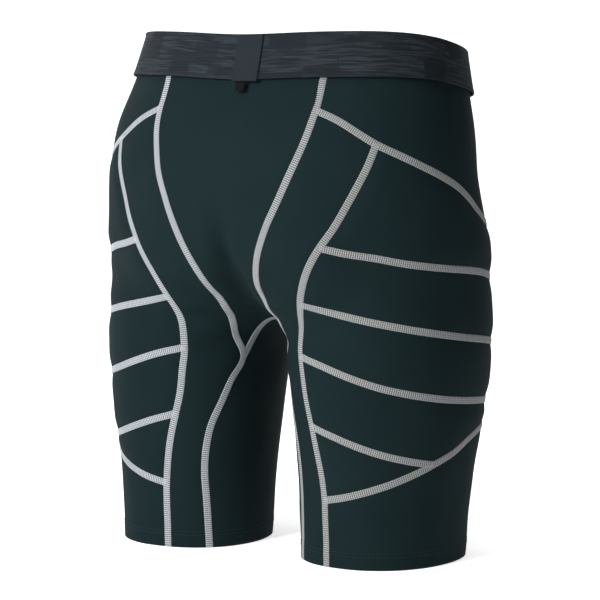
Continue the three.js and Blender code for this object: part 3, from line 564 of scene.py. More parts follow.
def normalsOf(grid, levelRows=()):
    n = outward(grid)
    for row in levelRows:
        n[row] = levelOutward(grid[row])
    return n


def numbered(m, n):
    return np.arange(m * n).reshape(m, n)


def gridQuads(ids):
    # one quad for each four neighbours in a grid of point numbers
    return np.stack([ids[:-1, :-1], ids[:-1, 1:], ids[1:, 1:], ids[1:, :-1]], -1).reshape(-1, 4)


def shell(outer, inner):
    # the two faces of a sheet joined round its edges
    ids = numbered(*outer.shape[:2])
    half = ids.size
    face = gridQuads(ids)

    def wall(line):
        p, q = line[:-1], line[1:]
        return np.stack([q, p, p + half, q + half], -1)

    walls = [wall(line) for line in (ids[0], ids[-1][::-1], ids[::-1, 0], ids[:, -1])]
    quads = np.vstack([face, face[:, [0, 3, 2, 1]] + half, *walls])
    return np.vstack([outer.reshape(-1, 3), inner.reshape(-1, 3)]), quads


def roundOff(distance, radius):
    # share of a radius lost to a rounded edge: all of it on the edge, none a radius in
    near = np.clip(distance / radius, 0, 1)
    return 1 - np.sqrt(1 - (1 - near) ** 2)


def clothMap(grid):
    across, down = gridLengths(grid)
    uv = np.stack([across, down], -1).reshape(-1, 2) / 1000
    return np.vstack([uv, uv])


print("making materials")
finishes = {
    "fabric": {
        "colour": (0.0043, 0.0102, 0.0116),
        "cloud": (0.0071, 0.0151, 0.0168),
        "roughness": (0.72, 0.9),
    },
    # tape colours: the dark one is painted shade down in the stitches, the left one painted light on the
    # lamp's side, the right one painted shade on the far side
    "tape": {"groove": (0.045, 0.048, 0.052), "left": (0.50, 0.53, 0.57), "right": (0.35, 0.36, 0.345)},
    "elastic": {
        "low": (0.0064, 0.0090, 0.0115),
        "high": (0.0235, 0.0295, 0.0355),
        "plain": (0.0195, 0.0240, 0.0285),
    },
    "label": {"colour": (0.002, 0.002, 0.0022), "weave": (0.005, 0.005, 0.0055)},
    "foam": {"colour": (0.05, 0.054, 0.06), "cell": (0.02, 0.022, 0.025)},
    "mesh": {"colour": (0.014, 0.017, 0.02), "hole": (0.004, 0.005, 0.006)},
    "hemThread": {"colour": (0.009, 0.015, 0.018), "twist": (0.026, 0.036, 0.042)},
    "floor": {"colour": (0.9, 0.9, 0.9), "fibre": (0.887, 0.887, 0.887)},
}


def rgba(colour):
    return (*colour, 1.0)


class Nodes:
    # small helper that adds nodes and links them in one call
    def __init__(self, name):
        self.material = bpy.data.materials.new(name)
        self.material.use_nodes = True
        self.tree = self.material.node_tree
        self.shader = self.tree.nodes["Principled BSDF"]

    def add(self, kind, inputs=None, **settings):
        node = self.tree.nodes.new(kind)
        for key, value in settings.items():
            setattr(node, key, value)
        for key, value in (inputs or {}).items():
            if hasattr(value, "is_output"):
                self.tree.links.new(value, node.inputs[key])
            else:
                node.inputs[key].default_value = value
        return node

    def math(self, operation, a, b=0.0, clamp=False):
        return self.add("ShaderNodeMath", {0: a, 1: b}, operation=operation, use_clamp=clamp).outputs[0]

    def mix(self, share, a, b):
        node = self.add("ShaderNodeMix", {"Factor": share}, data_type="RGBA")
        for key, value in ((6, a), (7, b)):
            if hasattr(value, "is_output"):
                self.tree.links.new(value, node.inputs[key])
            else:
                node.inputs[key].default_value = rgba(value)
        return node.outputs[2]

    def uv(self):
        return self.add("ShaderNodeUVMap", uv_map="cloth").outputs[0]

    def place(self):
        return self.add("ShaderNodeTexCoord").outputs["Object"]

    def attribute(self, name):
        return self.add("ShaderNodeAttribute", attribute_name=name).outputs["Fac"]

    def scaled(self, vector, across, up):
        return self.add("ShaderNodeMapping", {"Vector": vector, "Scale": (across, up, 1)}).outputs[0]

    def noise(self, vector, scale, detail):
        inputs = {"Vector": vector, "Scale": scale, "Detail": detail}
        return self.add("ShaderNodeTexNoise", inputs).outputs["Fac"]

    def band(self, vector, scale, direction):
        wave = self.add("ShaderNodeTexWave", {"Vector": vector, "Scale": scale}, bands_direction=direction)
        return wave.outputs["Fac"]

    def cells(self, vector, scale, metric="EUCLIDEAN", randomness=1.0):
        inputs = {"Vector": vector, "Scale": scale, "Randomness": randomness}
        return self.add("ShaderNodeTexVoronoi", inputs, distance=metric)

    def bump(self, height, distance, strength, under=None):
        inputs = {"Height": height, "Distance": distance, "Strength": strength}
        if under is not None:
            inputs["Normal"] = under
        return self.add("ShaderNodeBump", inputs).outputs[0]

    def ramp(self, value, low, high):
        return self.add("ShaderNodeMapRange", {"Value": value, "From Min": low, "From Max": high}).outputs[0]

    def finish(self, colour, roughness, normal=None, **sockets):
        for key, value in (("Base Color", colour), ("Roughness", roughness), ("Normal", normal)):
            if hasattr(value, "is_output"):
                self.tree.links.new(value, self.shader.inputs[key])
            elif value is not None:
                self.shader.inputs[key].default_value = rgba(value) if key == "Base Color" else value
        for key, value in sockets.items():
            self.shader.inputs[key].default_value = value
        return self.material


def fabricMaterial():
    # stretch jersey: fine upright wales crossed by courses, faint cloudy shade, soft sheen
    look = finishes["fabric"]
    n = Nodes("stretchJersey")
    cloth, here = n.uv(), n.place()
    wales = n.band(cloth, 520, "X")
    courses = n.band(cloth, 640, "Y")
    knit = n.math("MULTIPLY", wales, n.math("MULTIPLY_ADD", courses, 0.5))
    cloudy = n.ramp(n.noise(here, 14, 3), 0.3, 0.7)
    heather = n.ramp(n.noise(here, 900, 2), 0.35, 0.75)
    share = n.math("ADD", n.math("MULTIPLY", cloudy, 0.35), n.math("MULTIPLY", heather, 0.5), clamp=True)
    colour = n.mix(share, look["colour"], look["cloud"])
    least, most = look["roughness"]
    rough = n.add("ShaderNodeMapRange", {"Value": heather, "To Min": least, "To Max": most})
    creases = n.bump(n.noise(here, 60, 2), 0.0004, 0.25)
    normal = n.bump(knit, 0.00012, 0.6, creases)
    return n.finish(colour, rough.outputs[0], normal, **{
        "Specular IOR Level": 0.03, "Sheen Weight": 0.012,
        "Sheen Roughness": 0.4, "Sheen Tint": (0.62, 0.82, 0.9, 1)})


def tapeMaterial():
    # flat seam thread: its colour carries painted shade, dark down in the stitches and light where it stands
    # up, and painted light, lighter and cooler to the left where the key lamp falls and darker to the right
    look = finishes["tape"]
    n = Nodes("flatSeamThread")
    here = n.place()
    fuzz = n.ramp(n.noise(here, 1400, 2), 0.2, 0.8)
    # the thread attribute is how far the seam stands up; where it is low the colour falls to the dark groove
    # colour, painted shade in the stitches
    share = n.math("SUBTRACT", n.attribute("thread"), n.math("MULTIPLY", fuzz, 0.25), clamp=True)
    across = n.add("ShaderNodeSeparateXYZ", {"Vector": here}).outputs["X"]
    # painted light and shade: the thread goes from the shaded right colour to the lit left colour across the
    # garment
    sideLitThread = n.mix(n.ramp(across, -0.12, 0.12), look["right"], look["left"])
    colour = n.mix(share, look["groove"], sideLitThread)
    twist = n.bump(fuzz, 0.00015, 0.5)
    return n.finish(colour, 0.85, twist, **{"Specular IOR Level": 0.12, "Sheen Weight": 0.02})


def elasticMaterial(name, streaked):
    # woven elastic: fine ribs, and on the band itself wavy streaks in blocks round the waist
    look = finishes["elastic"]
    n = Nodes(name)
    cloth = n.uv()
    ribs = n.band(cloth, 330, "Y" if streaked else "X")
    ends = n.band(cloth, 420, "X" if streaked else "Y")
    weave = n.math("MULTIPLY", ribs, n.math("MULTIPLY_ADD", ends, 0.45))
    if streaked:
        drift = n.math("MULTIPLY", n.noise(n.scaled(cloth, 40, 50), 1.0, 2), 0.0035)
        bent = n.add("ShaderNodeCombineXYZ", {"Y": drift}).outputs[0]
        moved = n.add("ShaderNodeVectorMath", {0: cloth, 1: bent}, operation="ADD").outputs[0]
        streaks = n.ramp(n.noise(n.scaled(moved, 30, 430), 1.0, 2), 0.40, 0.60)
        blocks = n.cells(n.scaled(cloth, 24, 62), 1.0, metric="CHEBYCHEV").outputs["Color"]
        tone = n.add("ShaderNodeSeparateColor", {"Color": blocks}).outputs[0]
        raised = n.math("MULTIPLY", streaks, n.ramp(tone, 0.1, 0.45))
        share = n.math("ADD", n.math("MULTIPLY", raised, 0.62), n.math("MULTIPLY", weave, 0.25), clamp=True)
        colour = n.mix(share, look["low"], look["high"])
        under = n.bump(raised, 0.0006, 0.7)
    else:
        colour = n.mix(weave, look["low"], look["plain"])
        under = n.bump(n.noise(n.place(), 300, 2), 0.0002, 0.4)
    normal = n.bump(weave, 0.0002, 0.5, under)
    return n.finish(colour, 0.75, normal, **{
        "Specular IOR Level": 0.05, "Sheen Weight": 0.012,
        "Sheen Roughness": 0.4, "Sheen Tint": (0.7, 0.82, 0.95, 1)})


def labelMaterial():
    look = finishes["label"]
    n = Nodes("satinLabel")
    cloth = n.uv()
    weave = n.math("MULTIPLY", n.band(cloth, 700, "X"), n.band(cloth, 700, "Y"))
    colour = n.mix(weave, look["colour"], look["weave"])
    return n.finish(colour, 0.6, n.bump(weave, 0.0001, 0.5), **{"Specular IOR Level": 0.04})


def foamMaterial():
    look = finishes["foam"]
    n = Nodes("closedCellFoam")
    here = n.place()
    cells = n.cells(here, 900).outputs["Distance"]
    colour = n.mix(n.ramp(cells, 0.1, 0.6), look["cell"], look["colour"])
    return n.finish(colour, 0.95, n.bump(cells, 0.0003, 0.6), **{"Specular IOR Level": 0.2})


def meshMaterial():
    # warp-knitted lining: rows of small eyelets
    look = finishes["mesh"]
    n = Nodes("meshLining")
    cloth = n.uv()
    eyelet = n.cells(cloth, 420, randomness=0.0).outputs["Distance"]
    thread = n.ramp(eyelet, 0.22, 0.34)
    colour = n.mix(thread, look["hole"], look["colour"])
    return n.finish(colour, 0.85, n.bump(thread, 0.0003, 0.7), **{"Specular IOR Level": 0.05})


def hemThreadMaterial():
    look = finishes["hemThread"]
    n = Nodes("hemThread")
    twist = n.noise(n.place(), 2200, 1)
    colour = n.mix(twist, look["colour"], look["twist"])
    return n.finish(colour, 0.7, n.bump(twist, 0.0001, 0.4), **{"Specular IOR Level": 0.08})


def floorMaterial():
    look = finishes["floor"]
    n = Nodes("studioPaper")
    fibre = n.ramp(n.noise(n.place(), 180, 3), 0.2, 0.8)
    colour = n.mix(fibre, look["colour"], look["fibre"])
    return n.finish(colour, 0.9, **{
        "Specular IOR Level": 0.0, "Emission Color": (1, 1, 1, 1), "Emission Strength": 0.7})


materials = {
    "fabric": fabricMaterial(),
    "tape": tapeMaterial(),
    "elastic": elasticMaterial("jacquardElastic", True),
    "patchElastic": elasticMaterial("plainElastic", False),
    "label": labelMaterial(),
    "foam": foamMaterial(),
    "mesh": meshMaterial(),
    "hemThread": hemThreadMaterial(),
    "floor": floorMaterial(),
}

flatSizes = {}


def declareSheet(piece, grid):
    # the cut is the stretched cloth's longest row and column, and its area, each let back
    across, down = gridLengths(grid)
    roundBody, upBody = shorts["stretch"]
    flat = (across[:, -1].max() / roundBody / 1000, down[-1].max() / upBody / 1000)
    area = min(gridArea(grid) / roundBody / upBody / 1e6, flat[0] * flat[1])
    flatSizes[piece.name] = (round(flat[0] * 1000), round(flat[1] * 1000), round(area * 1e4))


def clothFaces(grid, sewnSides, levelRows, puff=0.0, pull=0.4):
    # outer and inner faces of a panel, pulled in beside its seams
    normals = normalsOf(grid, levelRows)
    rise = ripple(grid) + puff
    dip = shorts["seamDip"] * np.exp(-((edgeDistance(grid, sewnSides) / shorts["seamDipWidth"]) ** 2))
    outer = grid + normals * (rise + shorts["fabric"] - dip)[..., None]
    inner = grid + normals * (rise + pull * dip)[..., None]
    return outer, inner


def addPanel(name, node, edges, sewnSides, levelRows, pair=True):
    grid = coons(*edges)
    points, quads = shell(*clothFaces(grid, sewnSides, levelRows))
    if pair:
        made = bothSides(name, node, "fabric", points, quads, uv=clothMap(grid))
    else:
        made = [place(addMesh(name, points, quads, "fabric", uv=clothMap(grid)), [node])]
    for piece in made:
        declareSheet(piece, grid)


def waistEdge(start, stop, count, turn):
    return levelLine(waistAxis, start, stop, count, atPanelTop, turn)


def hemEdge(start, stop, count, turn):
    return levelLine(legAxis, start, stop, count, atHem, turn)


backUp = stretchOf(backLine, backMarks, 0, 2)
backDown = stretchOf(backLine, backMarks, 2, 3)
frontUp = stretchOf(frontLine, frontMarks, 0, 1)
frontDown = stretchOf(frontLine, frontMarks, 1, 2)

addPanel("backCentrePanel", "back_centre_panel",
         (waistEdge(backUp[0], flipped(backUp[0]), columns["centre"], 1),
          flipped(backUp), backArch, backUp),
         "rbl", [0], pair=False)
addPanel("frontCentrePanel", "front_centre_panel",
         (waistEdge(frontUp[0], flipped(frontUp[0]), columns["centre"], -1),
          flipped(frontUp), frontArch, frontUp),
         "rbl", [0], pair=False)
gussetBack = join(backDown[::-1], backArch, flipped(backDown))
gussetFront = join(frontDown[::-1], frontArch, flipped(frontDown))
gussetHem = hemEdge(gussetBack[0], gussetFront[0], columns["gusset"], 1)
addPanel("crotchGusset", "crotch_gusset", (gussetHem, gussetFront, flipped(gussetHem), gussetBack),
         "rl", [0, -1], pair=False)
addPanel("BackThighPanel", "back_thigh_panel",
         (hipLine[:hipSplit + 1], behindLine,
          hemEdge(backLine[-1], behindLine[-1], columns["backThigh"], -1),
          stretchOf(backLine, backMarks, 1, 3)),
         "trl", [-1])
addPanel("HipYokePanel", "hip_yoke_panel",
         (waistEdge(backLine[0], beforeLine[0], columns["backThigh"] + columns["pads"], -1),
          stretchOf(beforeLine, beforeMarks, 0, 1), hipLine, stretchOf(backLine, backMarks, 0, 1)),
         "rbl", [0])
addPanel("LowerSidePanel", "lower_side_panel",
         (lowerLine, stretchOf(beforeLine, beforeMarks, 5, 6),
          hemEdge(behindLine[-1], beforeLine[-1], columns["pads"], -1),
          stretchOf(behindLine, behindMarks, 5, 6)),
         "trl", [-1])
addPanel("FrontThighPanel", "front_thigh_panel",
         (waistEdge(beforeLine[0], frontLine[0], columns["frontThigh"], -1), frontLine,
          hemEdge(beforeLine[-1], frontLine[-1], columns["frontThigh"], -1), beforeLine),
         "rl", [0, -1])
print("panels made")

pads = {
    "puff": 1.7,          # how far the covers stand up over the foam
    "flange": 3.1,        # flat margin beside a seam, under its thread
    "shoulder": 15.0,     # how far in from that the cover is level again
    "foamThickness": 8.0,
    "foamRound": 3.2,
    "foamGap": 0.8,
    "foamInset": 10.0,
    "wedgeFoamEnd": 0.62,
    "liningGap": 1.4,
    "liningInset": 4.5,
    "liningSkirt": 4.6,
    "liningThickness": 0.7,
    "rimDepth": 1.0,
}


def padRise(distance):
    # level under the seam's edge, then a quarter sine up to the level top of the pad
    share = np.clip((distance - pads["flange"]) / pads["shoulder"], 0, 1)
    return pads["puff"] * np.sin(share * math.pi / 2) ** 1.1


def sampled(grid, u, v):
    # points of a grid at shares u across and v down, taken in straight lines between its own
    m, n = grid.shape[:2]
    row, column = v * (m - 1), u * (n - 1)
    i, j = np.clip(row.astype(int), 0, m - 2), np.clip(column.astype(int), 0, n - 2)
    a, b = (row - i)[..., None], (column - j)[..., None]
    top = grid[i, j] * (1 - b) + grid[i, j + 1] * b
    return top * (1 - a) + (grid[i + 1, j] * (1 - b) + grid[i + 1, j + 1] * b) * a


def foamPlate(grid):
    # a plate under the cover, inset all round, its far face rounded down to the edges
    rise = padRise(edgeDistance(grid)) + ripple(grid)
    under = grid + outward(grid) * rise[..., None]
    across, down = gridLengths(grid)
    pointed = down[-1, -1] < 1
    start = pads["foamInset"] / min(across[0, -1], across[-1, -1])
    stop = pads["wedgeFoamEnd"] if pointed else 1 - start
    u = np.linspace(start, stop, grid.shape[1])
    columnLength = np.interp(u, np.linspace(0, 1, grid.shape[1]), down[-1])
    margin = np.minimum(pads["foamInset"] / columnLength, 0.4)
    v = margin[None] + (1 - 2 * margin[None]) * np.linspace(0, 1, 25)[:, None]
    top = sampled(under, np.broadcast_to(u, v.shape), v)
    normals = outward(top)
    top = top - normals * pads["foamGap"]
    rounding = pads["foamRound"] * roundOff(edgeDistance(top), pads["foamRound"])
    bottom = top - normals * (pads["foamThickness"] - rounding)[..., None]
    return top, bottom


padStretches = [
    (quilts[0], 1, quilts[1], 0), (quilts[1], 2, quilts[2], 1),
    (quilts[2], 3, quilts[3], 2), (quilts[3], 4, lowerLine, 3),
]
padEdges = [
    (top, stretchOf(beforeLine, beforeMarks, right, right + 1),
     bottom, stretchOf(behindLine, behindMarks, left, left + 1))
    for top, right, bottom, left in padStretches
]
padEdges[3] = (quilts[3], padEdges[3][1], join(wedgeLine, lowerBefore), padEdges[3][3])
wedgeEnd = np.repeat(wedgeTip[None], rows["pads"][4] * step + 1, axis=0)
padEdges.append((wedgeLine, wedgeEnd, lowerBehind, stretchOf(behindLine, behindMarks, 4, 5)))

for number, edges in enumerate(padEdges, 1):
    grid = coons(*edges)
    rise = padRise(edgeDistance(grid, "tbl" if number == 5 else "trbl"))
    points, quads = shell(*clothFaces(grid, "trbl", [], rise, pull=0))
    covers = bothSides(f"PadCover{number}", f"pad_cover_{number}", "fabric", points, quads,
                       uv=clothMap(grid), weld=number == 5)
    top, bottom = foamPlate(grid)
    foams = bothSides(f"FoamPad{number}", f"foam_pad_{number}", "foam", *shell(top, bottom), uv=clothMap(top))
print("pads made")


def pocket(grid, fullDepth):
    # a lining whose rim lies on the cloth and whose floor drops under the foam in an eased step
    share = eased(edgeDistance(grid) / pads["liningSkirt"])
    depth = pads["rimDepth"] + (fullDepth - pads["rimDepth"]) * share - ripple(grid)
    normals = outward(grid)
    outer = grid - normals * depth[..., None]
    return shell(outer, outer - normals * pads["liningThickness"])


def insetGrid(edges, inset):
    # the grid between four edges with the same margin left all round
    whole = coons(*edges)
    across, down = gridLengths(whole)
    m, n = whole.shape[:2]
    aside, above = inset / across[:, -1:], inset / down[-1:]
    u = aside + (1 - 2 * aside) * np.linspace(0, 1, n)[None]
    v = above + (1 - 2 * above) * np.linspace(0, 1, m)[:, None]
    return settle(sampled(whole, np.broadcast_to(u, (m, n)), np.broadcast_to(v, (m, n))))


liningDepth = pads["foamGap"] + pads["foamThickness"] + pads["liningGap"]
liningLeft = stretchOf(behindLine, behindMarks, 0, 5)
liningRight = settle(pointsAlong(beforeSeam, np.linspace(beforeStops[1], beforeStops[5], len(liningLeft))))
liningRight[0], liningRight[-1] = quilts[0][-1], lowerLine[-1]
liningGrid = insetGrid((quilts[0], liningRight, lowerLine, liningLeft), pads["liningInset"])
linings = bothSides("PadLining", "pad_lining", "mesh", *pocket(liningGrid, liningDepth),
                    uv=clothMap(liningGrid))
for piece in linings:
    declareSheet(piece, liningGrid)

tailPad = {
    "top": 402,
    "bottom": 322,
    "topHalf": 40,
    "bottomHalf": 26,
    "thickness": 7,
    "pocketMargin": 7,
    "round": 3.0,
}


def shieldGrid(margin, across, down):
    # a tapered patch of the form at the tailbone, wider at its top
    t = np.linspace(0, 1, down + 1)[:, None]
    s = np.linspace(1, -1, across + 1)[None]
    z = (tailPad["top"] + margin) + (tailPad["bottom"] - tailPad["top"] - 2 * margin) * t
    half = tailPad["topHalf"] + margin + (tailPad["bottomHalf"] - tailPad["topHalf"]) * t
    x, z = half * s, np.broadcast_to(z, (down + 1, across + 1))
    return settle(np.stack([x, torsoAt["middle"](z) + torsoAt["back"](z), z], -1))


tailGrid = shieldGrid(0, 40, 40)
tailNormals = outward(tailGrid)
tailTop = tailGrid + tailNormals * (ripple(tailGrid) - pads["rimDepth"])[..., None]
tailEdge = tailPad["round"] * roundOff(edgeDistance(tailTop), tailPad["round"])
tailBottom = tailTop - tailNormals * (tailPad["thickness"] - tailEdge)[..., None]
tailFoam = addMesh("tailboneFoamPad", *shell(tailTop, tailBottom), "foam", uv=clothMap(tailTop))
place(tailFoam, ["tailbone_foam_pad"])
tailCloth = shieldGrid(tailPad["pocketMargin"], 44, 44)
tailDepth = pads["rimDepth"] + tailPad["thickness"] + pads["liningGap"]
tailPocket = addMesh("tailbonePocket", *pocket(tailCloth, tailDepth), "mesh", uv=clothMap(tailCloth))
declareSheet(place(tailPocket, ["tailbone_pocket"]), tailCloth)
print("linings made")

flatSeam = {
    "width": 7.0,
    "top": 1.75,          # crown of the thread above the form
    "bottom": -0.45,      # thread on the inner side
    "pitch": 1.95,        # from one cross thread to the next
    "rung": 0.42,         # how far a cross thread stands up
    "needle": 0.26,       # how far the needle rows stand up
    "needleRows": (-0.82, -0.28, 0.28, 0.82),
    "needleWidth": 0.13,
    "samples": 5,         # points along each pitch
    "columns": 15,
    "sunk": 0.45,         # how far the ribbon's edge lies under the cloth's face
    "bed": 0.35,          # how far the crown sinks between the threads
    "under": {"columns": 5, "shade": 0.7},
}


def seamFrame(line):
    # evenly spaced points on the line, with the way across it and the way out of the cloth
    marks = lengthMarks(line)
    spacing = flatSeam["pitch"] / flatSeam["samples"]
    count = max(int(round(marks[-1] / spacing)), 4)
    s = np.linspace(0, marks[-1], count + 1)
    p = settle(pointsAlong((line, marks), s), 3)
    reach = 6
    even = np.ones(2 * reach + 1) / (2 * reach + 1)
    padded = np.pad(p, ((reach, reach), (0, 0)), mode="reflect", reflect_type="odd")
    smooth = np.stack([np.convolve(padded[:, k], even, "valid") for k in range(3)], -1)
    normal = outward(p)
    side = unit(np.cross(normal, np.gradient(smooth, axis=0)))
    return s, p, side, normal


def flatlock(line, lift=0.0):
    # a closed ribbon: domed on top with cross threads and needle rows, flat underneath
    s, p, side, normal = seamFrame(line)
    c = np.linspace(-1, 1, flatSeam["columns"])[None]
    dome = np.sqrt(np.clip(1 - np.abs(c) ** 5, 0, 1))
    turn = 2 * math.pi * (s[:, None] / flatSeam["pitch"] + 0.05 * np.sin(c * 9))
    rung = 0.5 + 0.5 * np.cos(turn)
    needles = sum(np.exp(-(((c - r) / flatSeam["needleWidth"]) ** 2)) for r in flatSeam["needleRows"])
    beads = needles * (0.55 + 0.45 * np.cos(turn + math.pi))
    thread = np.clip(rung * 0.85 + beads * 0.35, 0, 1) * np.ones_like(dome)
    body = shorts["fabric"] - flatSeam["sunk"]
    height = (flatSeam["top"] + lift - body) * dome + body
    height = height + dome * (flatSeam["rung"] * rung + flatSeam["needle"] * beads - flatSeam["bed"])
    half = flatSeam["width"] / 2
    lay = ripple(p)[:, None]
    outer = p[:, None] + side[:, None] * (c * half)[..., None] + normal[:, None] * (height + lay)[..., None]
    ci = np.linspace(1, -1, flatSeam["under"]["columns"])[None]
    loops = 0.75 + 0.25 * np.cos(2 * math.pi * s[:, None] / flatSeam["pitch"])
    under = flatSeam["bottom"] * np.sqrt(np.clip(1 - 0.8 * ci**4, 0, 1)) * loops
    inner = p[:, None] + side[:, None] * (ci * half)[..., None] + normal[:, None] * (under + lay)[..., None]
    ring = np.concatenate([outer, inner], 1)
    ring[..., 2] = np.maximum(ring[..., 2], 0.0)
    # the shade share follows the raised thread, so the tape's colour is painted darker down in the stitches;
    # the underside gets a fixed share
    shade = np.concatenate([thread, np.full(under.shape, flatSeam["under"]["shade"])], 1)
    return ring, shade


def tube(ring):
    # quads round a ring of points carried along a line, with both ends closed by strips
    ids = numbered(*ring.shape[:2])
    n = ids.shape[1]
    quads = [gridQuads(np.hstack([ids, ids[:, :1]]))]
    for row, way in ((ids[0], -1), (ids[-1], 1)):
        i = np.arange(n // 2 - 1)
        cap = np.stack([row[i], row[i + 1], row[n - 2 - i], row[n - 1 - i]], -1)
        quads.append(cap[:, ::way])
    return np.vstack(quads)


def gather(parts):
    # several sets of points and quads as one
    points, quads, base = [], [], 0
    for p, q in parts:
        points.append(p)
        quads.append(q + base)
        base += len(p)
    return np.vstack(points), np.vstack(quads)


def seamPieces(lines):
    # several flat seams in one mesh, each turned outwards
    parts, shades = [], []
    for line, lift in lines:
        ring, shade = flatlock(line, lift)
        points, quads = ring.reshape(-1, 3), tube(ring)
        parts.append((points, quads[:, ::-1] if signedVolume(points, quads) < 0 else quads))
        shades.append(shade.ravel())
    return *gather(parts), np.concatenate(shades)


def trimmed(line, start=0.0, stop=0.0):
    # a line cut back by lengths at its two ends
    marks = lengthMarks(line)
    s = np.linspace(start, marks[-1] - stop, max(int(marks[-1] / 1.5), 8))
    return pointsAlong((line, marks), s)


for name, node, lines in (
    ("BackSeam", "back_seam", [(backLine, 0.1)]),
    ("FrontSeam", "front_seam", [(frontLine, 0.1)]),
    ("PadSeams", "pad_seams", [(beforeLine, 0.06), (behindLine, 0.06), (trimmed(hipLine, 1.5), 0.0),
                               *[(q, -0.05) for q in quilts[1:]], (wedgeLine, -0.05), (lowerLine, 0.0)]),
):
    points, quads, shade = seamPieces(lines)
    bothSides(name, node, "tape", points, quads, values={"thread": shade})
for name, node, line in (
    ("backArchSeam", "back_arch_seam", backArch),
    ("frontArchSeam", "front_arch_seam", frontArch),
):
    points, quads, shade = seamPieces([(trimmed(line, 1.5, 1.5), -0.05)])
    place(addMesh(name, points, quads, "tape", values={"thread": shade}), [node])
print("flat seams made")


def roundedProfile(height, inner, thickness, radius, count, edgeSwell=0.0, swellHeight=3.0):
    # a closed section as (height share, offset): up the outer face, round, down the inner face
    t = np.linspace(0, 1, count)
    z = height * (0.5 - 0.5 * np.cos(math.pi * t))
    cut = thickness / 2 * roundOff(np.minimum(z, height - z), radius)
    cord = edgeSwell * (np.exp(-(((z - swellHeight * 0.6) / swellHeight * 2) ** 2))
                        + 0.6 * np.exp(-(((height - z - swellHeight * 0.6) / swellHeight * 2) ** 2)))
    outerSide = np.stack([z, inner + thickness - cut + cord], -1)
    innerSide = np.stack([z, inner + cut], -1)[::-1]
    return np.vstack([outerSide, innerSide])


def bandRing(axis, angles, rimAt, section, height):
    # the section carried round an upright axis, each height at its own level below the rim
    heights, which = np.unique(np.round(section[:, 0], 6), return_inverse=True)
    levels = np.stack([onLevel(axis, angles, below(rimAt, height - h)) for h in heights])
    normals = levelOutward(levels)
    ring = levels[which] + normals[which] * section[:, 1][:, None, None]
    return ring.transpose(1, 0, 2)


def ringMesh(ring):
    # the points and quads of a ring, closed both ways
    return ring.reshape(-1, 3), gridQuads(np.pad(numbered(*ring.shape[:2]), ((0, 1), (0, 1)), "wrap"))


def ringMap(ring, section):
    around = lengthMarks(ring[:, 0])
    u = np.broadcast_to(around[:, None], ring.shape[:2])
    v = np.broadcast_to(section[:, 0][None], ring.shape[:2])
    return np.stack([u, v], -1).reshape(-1, 2) / 1000


def declareStrip(piece, ring, height):
    # a strip's cut is its length round the body let back, by its height
    flat = (lengthMarks(ring[:, 0])[-1] / shorts["stretch"][0] / 1000, height / 1000)
    flatSizes[piece.name] = (round(flat[0] * 1000), round(flat[1] * 1000), round(flat[0] * flat[1] * 1e4))


bandSection = roundedProfile(waistband["height"], waistband["inner"], waistband["thickness"],
                             waistband["round"], 22, waistband["ridge"], waistband["ridgeHeight"])
bandAngles = np.linspace(0, 2 * math.pi, 361)[:-1] + math.pi / 2
band = bandRing(waistAxis, bandAngles, atRim, bandSection, waistband["height"])
waistPiece = addMesh("waistBand", *ringMesh(band), "elastic", uv=ringMap(band, bandSection))
place(waistPiece, ["waistband"])
declareStrip(waistPiece, band, waistband["height"])

patch = {"width": 26, "thickness": 1.5, "offset": -10, "overhang": 1.6, "gap": 0.3, "round": 0.9}
tab = {"width": 9, "length": 8, "thickness": 0.8, "offset": -7.5, "gap": 0.45, "round": 0.7}


def onBack(x, levelAt):
    # the rearmost point of the form at each x, at its level
    x = np.asarray(x, float)
    low, high = np.zeros_like(x), np.full_like(x, search["depth"])
    for _ in range(search["depthHalvings"]):
        y = (low + high) / 2
        inside = bodyForm(np.stack([x, y, levelAt(x, y)], -1)) < 0
        low, high = np.where(inside, y, low), np.where(inside, high, y)
    return np.stack([x, y, levelAt(x, y)], -1)


def backPatch(centre, width, across, topAt, height, down):
    # a small upright grid on the back, its rows level with the rim
    x = centre + width * np.linspace(0.5, -0.5, across)
    return np.stack([onBack(x, below(topAt, h)) for h in np.linspace(0, height, down)])


def slab(grid, inner, thickness, radius):
    # a thin plate with softly rounded edges on its outer face
    normals = levelOutward(grid)
    drop = thickness * 0.6 * roundOff(edgeDistance(grid), radius)
    outer = grid + normals * (inner + thickness - drop)[..., None]
    return shell(outer, grid + normals * inner)


patchInner = waistband["inner"] + waistband["thickness"] + patch["gap"]
patchHeight = waistband["height"] + patch["overhang"]
patchGrid = backPatch(patch["offset"], patch["width"], 40, atRim, patchHeight, 60)
patchPiece = addMesh("waistbandJoinPatch", *slab(patchGrid, patchInner, patch["thickness"], patch["round"]),
                     "patchElastic", uv=clothMap(patchGrid))
place(patchPiece, ["waistband_join_patch"])

tabTop = below(atRim, patchHeight + tab["gap"])
tabGrid = backPatch(tab["offset"], tab["width"], 19, tabTop, tab["length"], 22)
tabInner = patchInner + patch["thickness"] - tab["thickness"]
tabPiece = addMesh("sizeTab", *slab(tabGrid, tabInner, tab["thickness"], tab["round"]), "label",
                   uv=clothMap(tabGrid))
place(tabPiece, ["size_tab"], "size_tab")

hem = {
    "fold": 16,
    "gap": 1.35,
    "thickness": 1.1,
    "round": 0.5,
    "stitchHeight": 15,
    "rowGap": 3.2,
    "stitch": 2.6,
    "space": 0.9,
    "thread": 0.22,
    "arch": 0.12,         # how far a stitch bows out
    "sunk": 0.05,
}

facingInner = shorts["lay"] - hem["gap"] - hem["thickness"]
facingSection = roundedProfile(hem["fold"], facingInner, hem["thickness"], hem["round"], 12)
legAngles = np.linspace(0, 2 * math.pi, 241)[:-1]
facing = bandRing(legAxis, legAngles, lambda x, y: np.full_like(x, hem["fold"]), facingSection, hem["fold"])
facings = bothSides("HemFacing", "hem_facing", "fabric", *ringMesh(facing), uv=ringMap(facing, facingSection))
for piece in facings:
    declareStrip(piece, facing, hem["fold"])


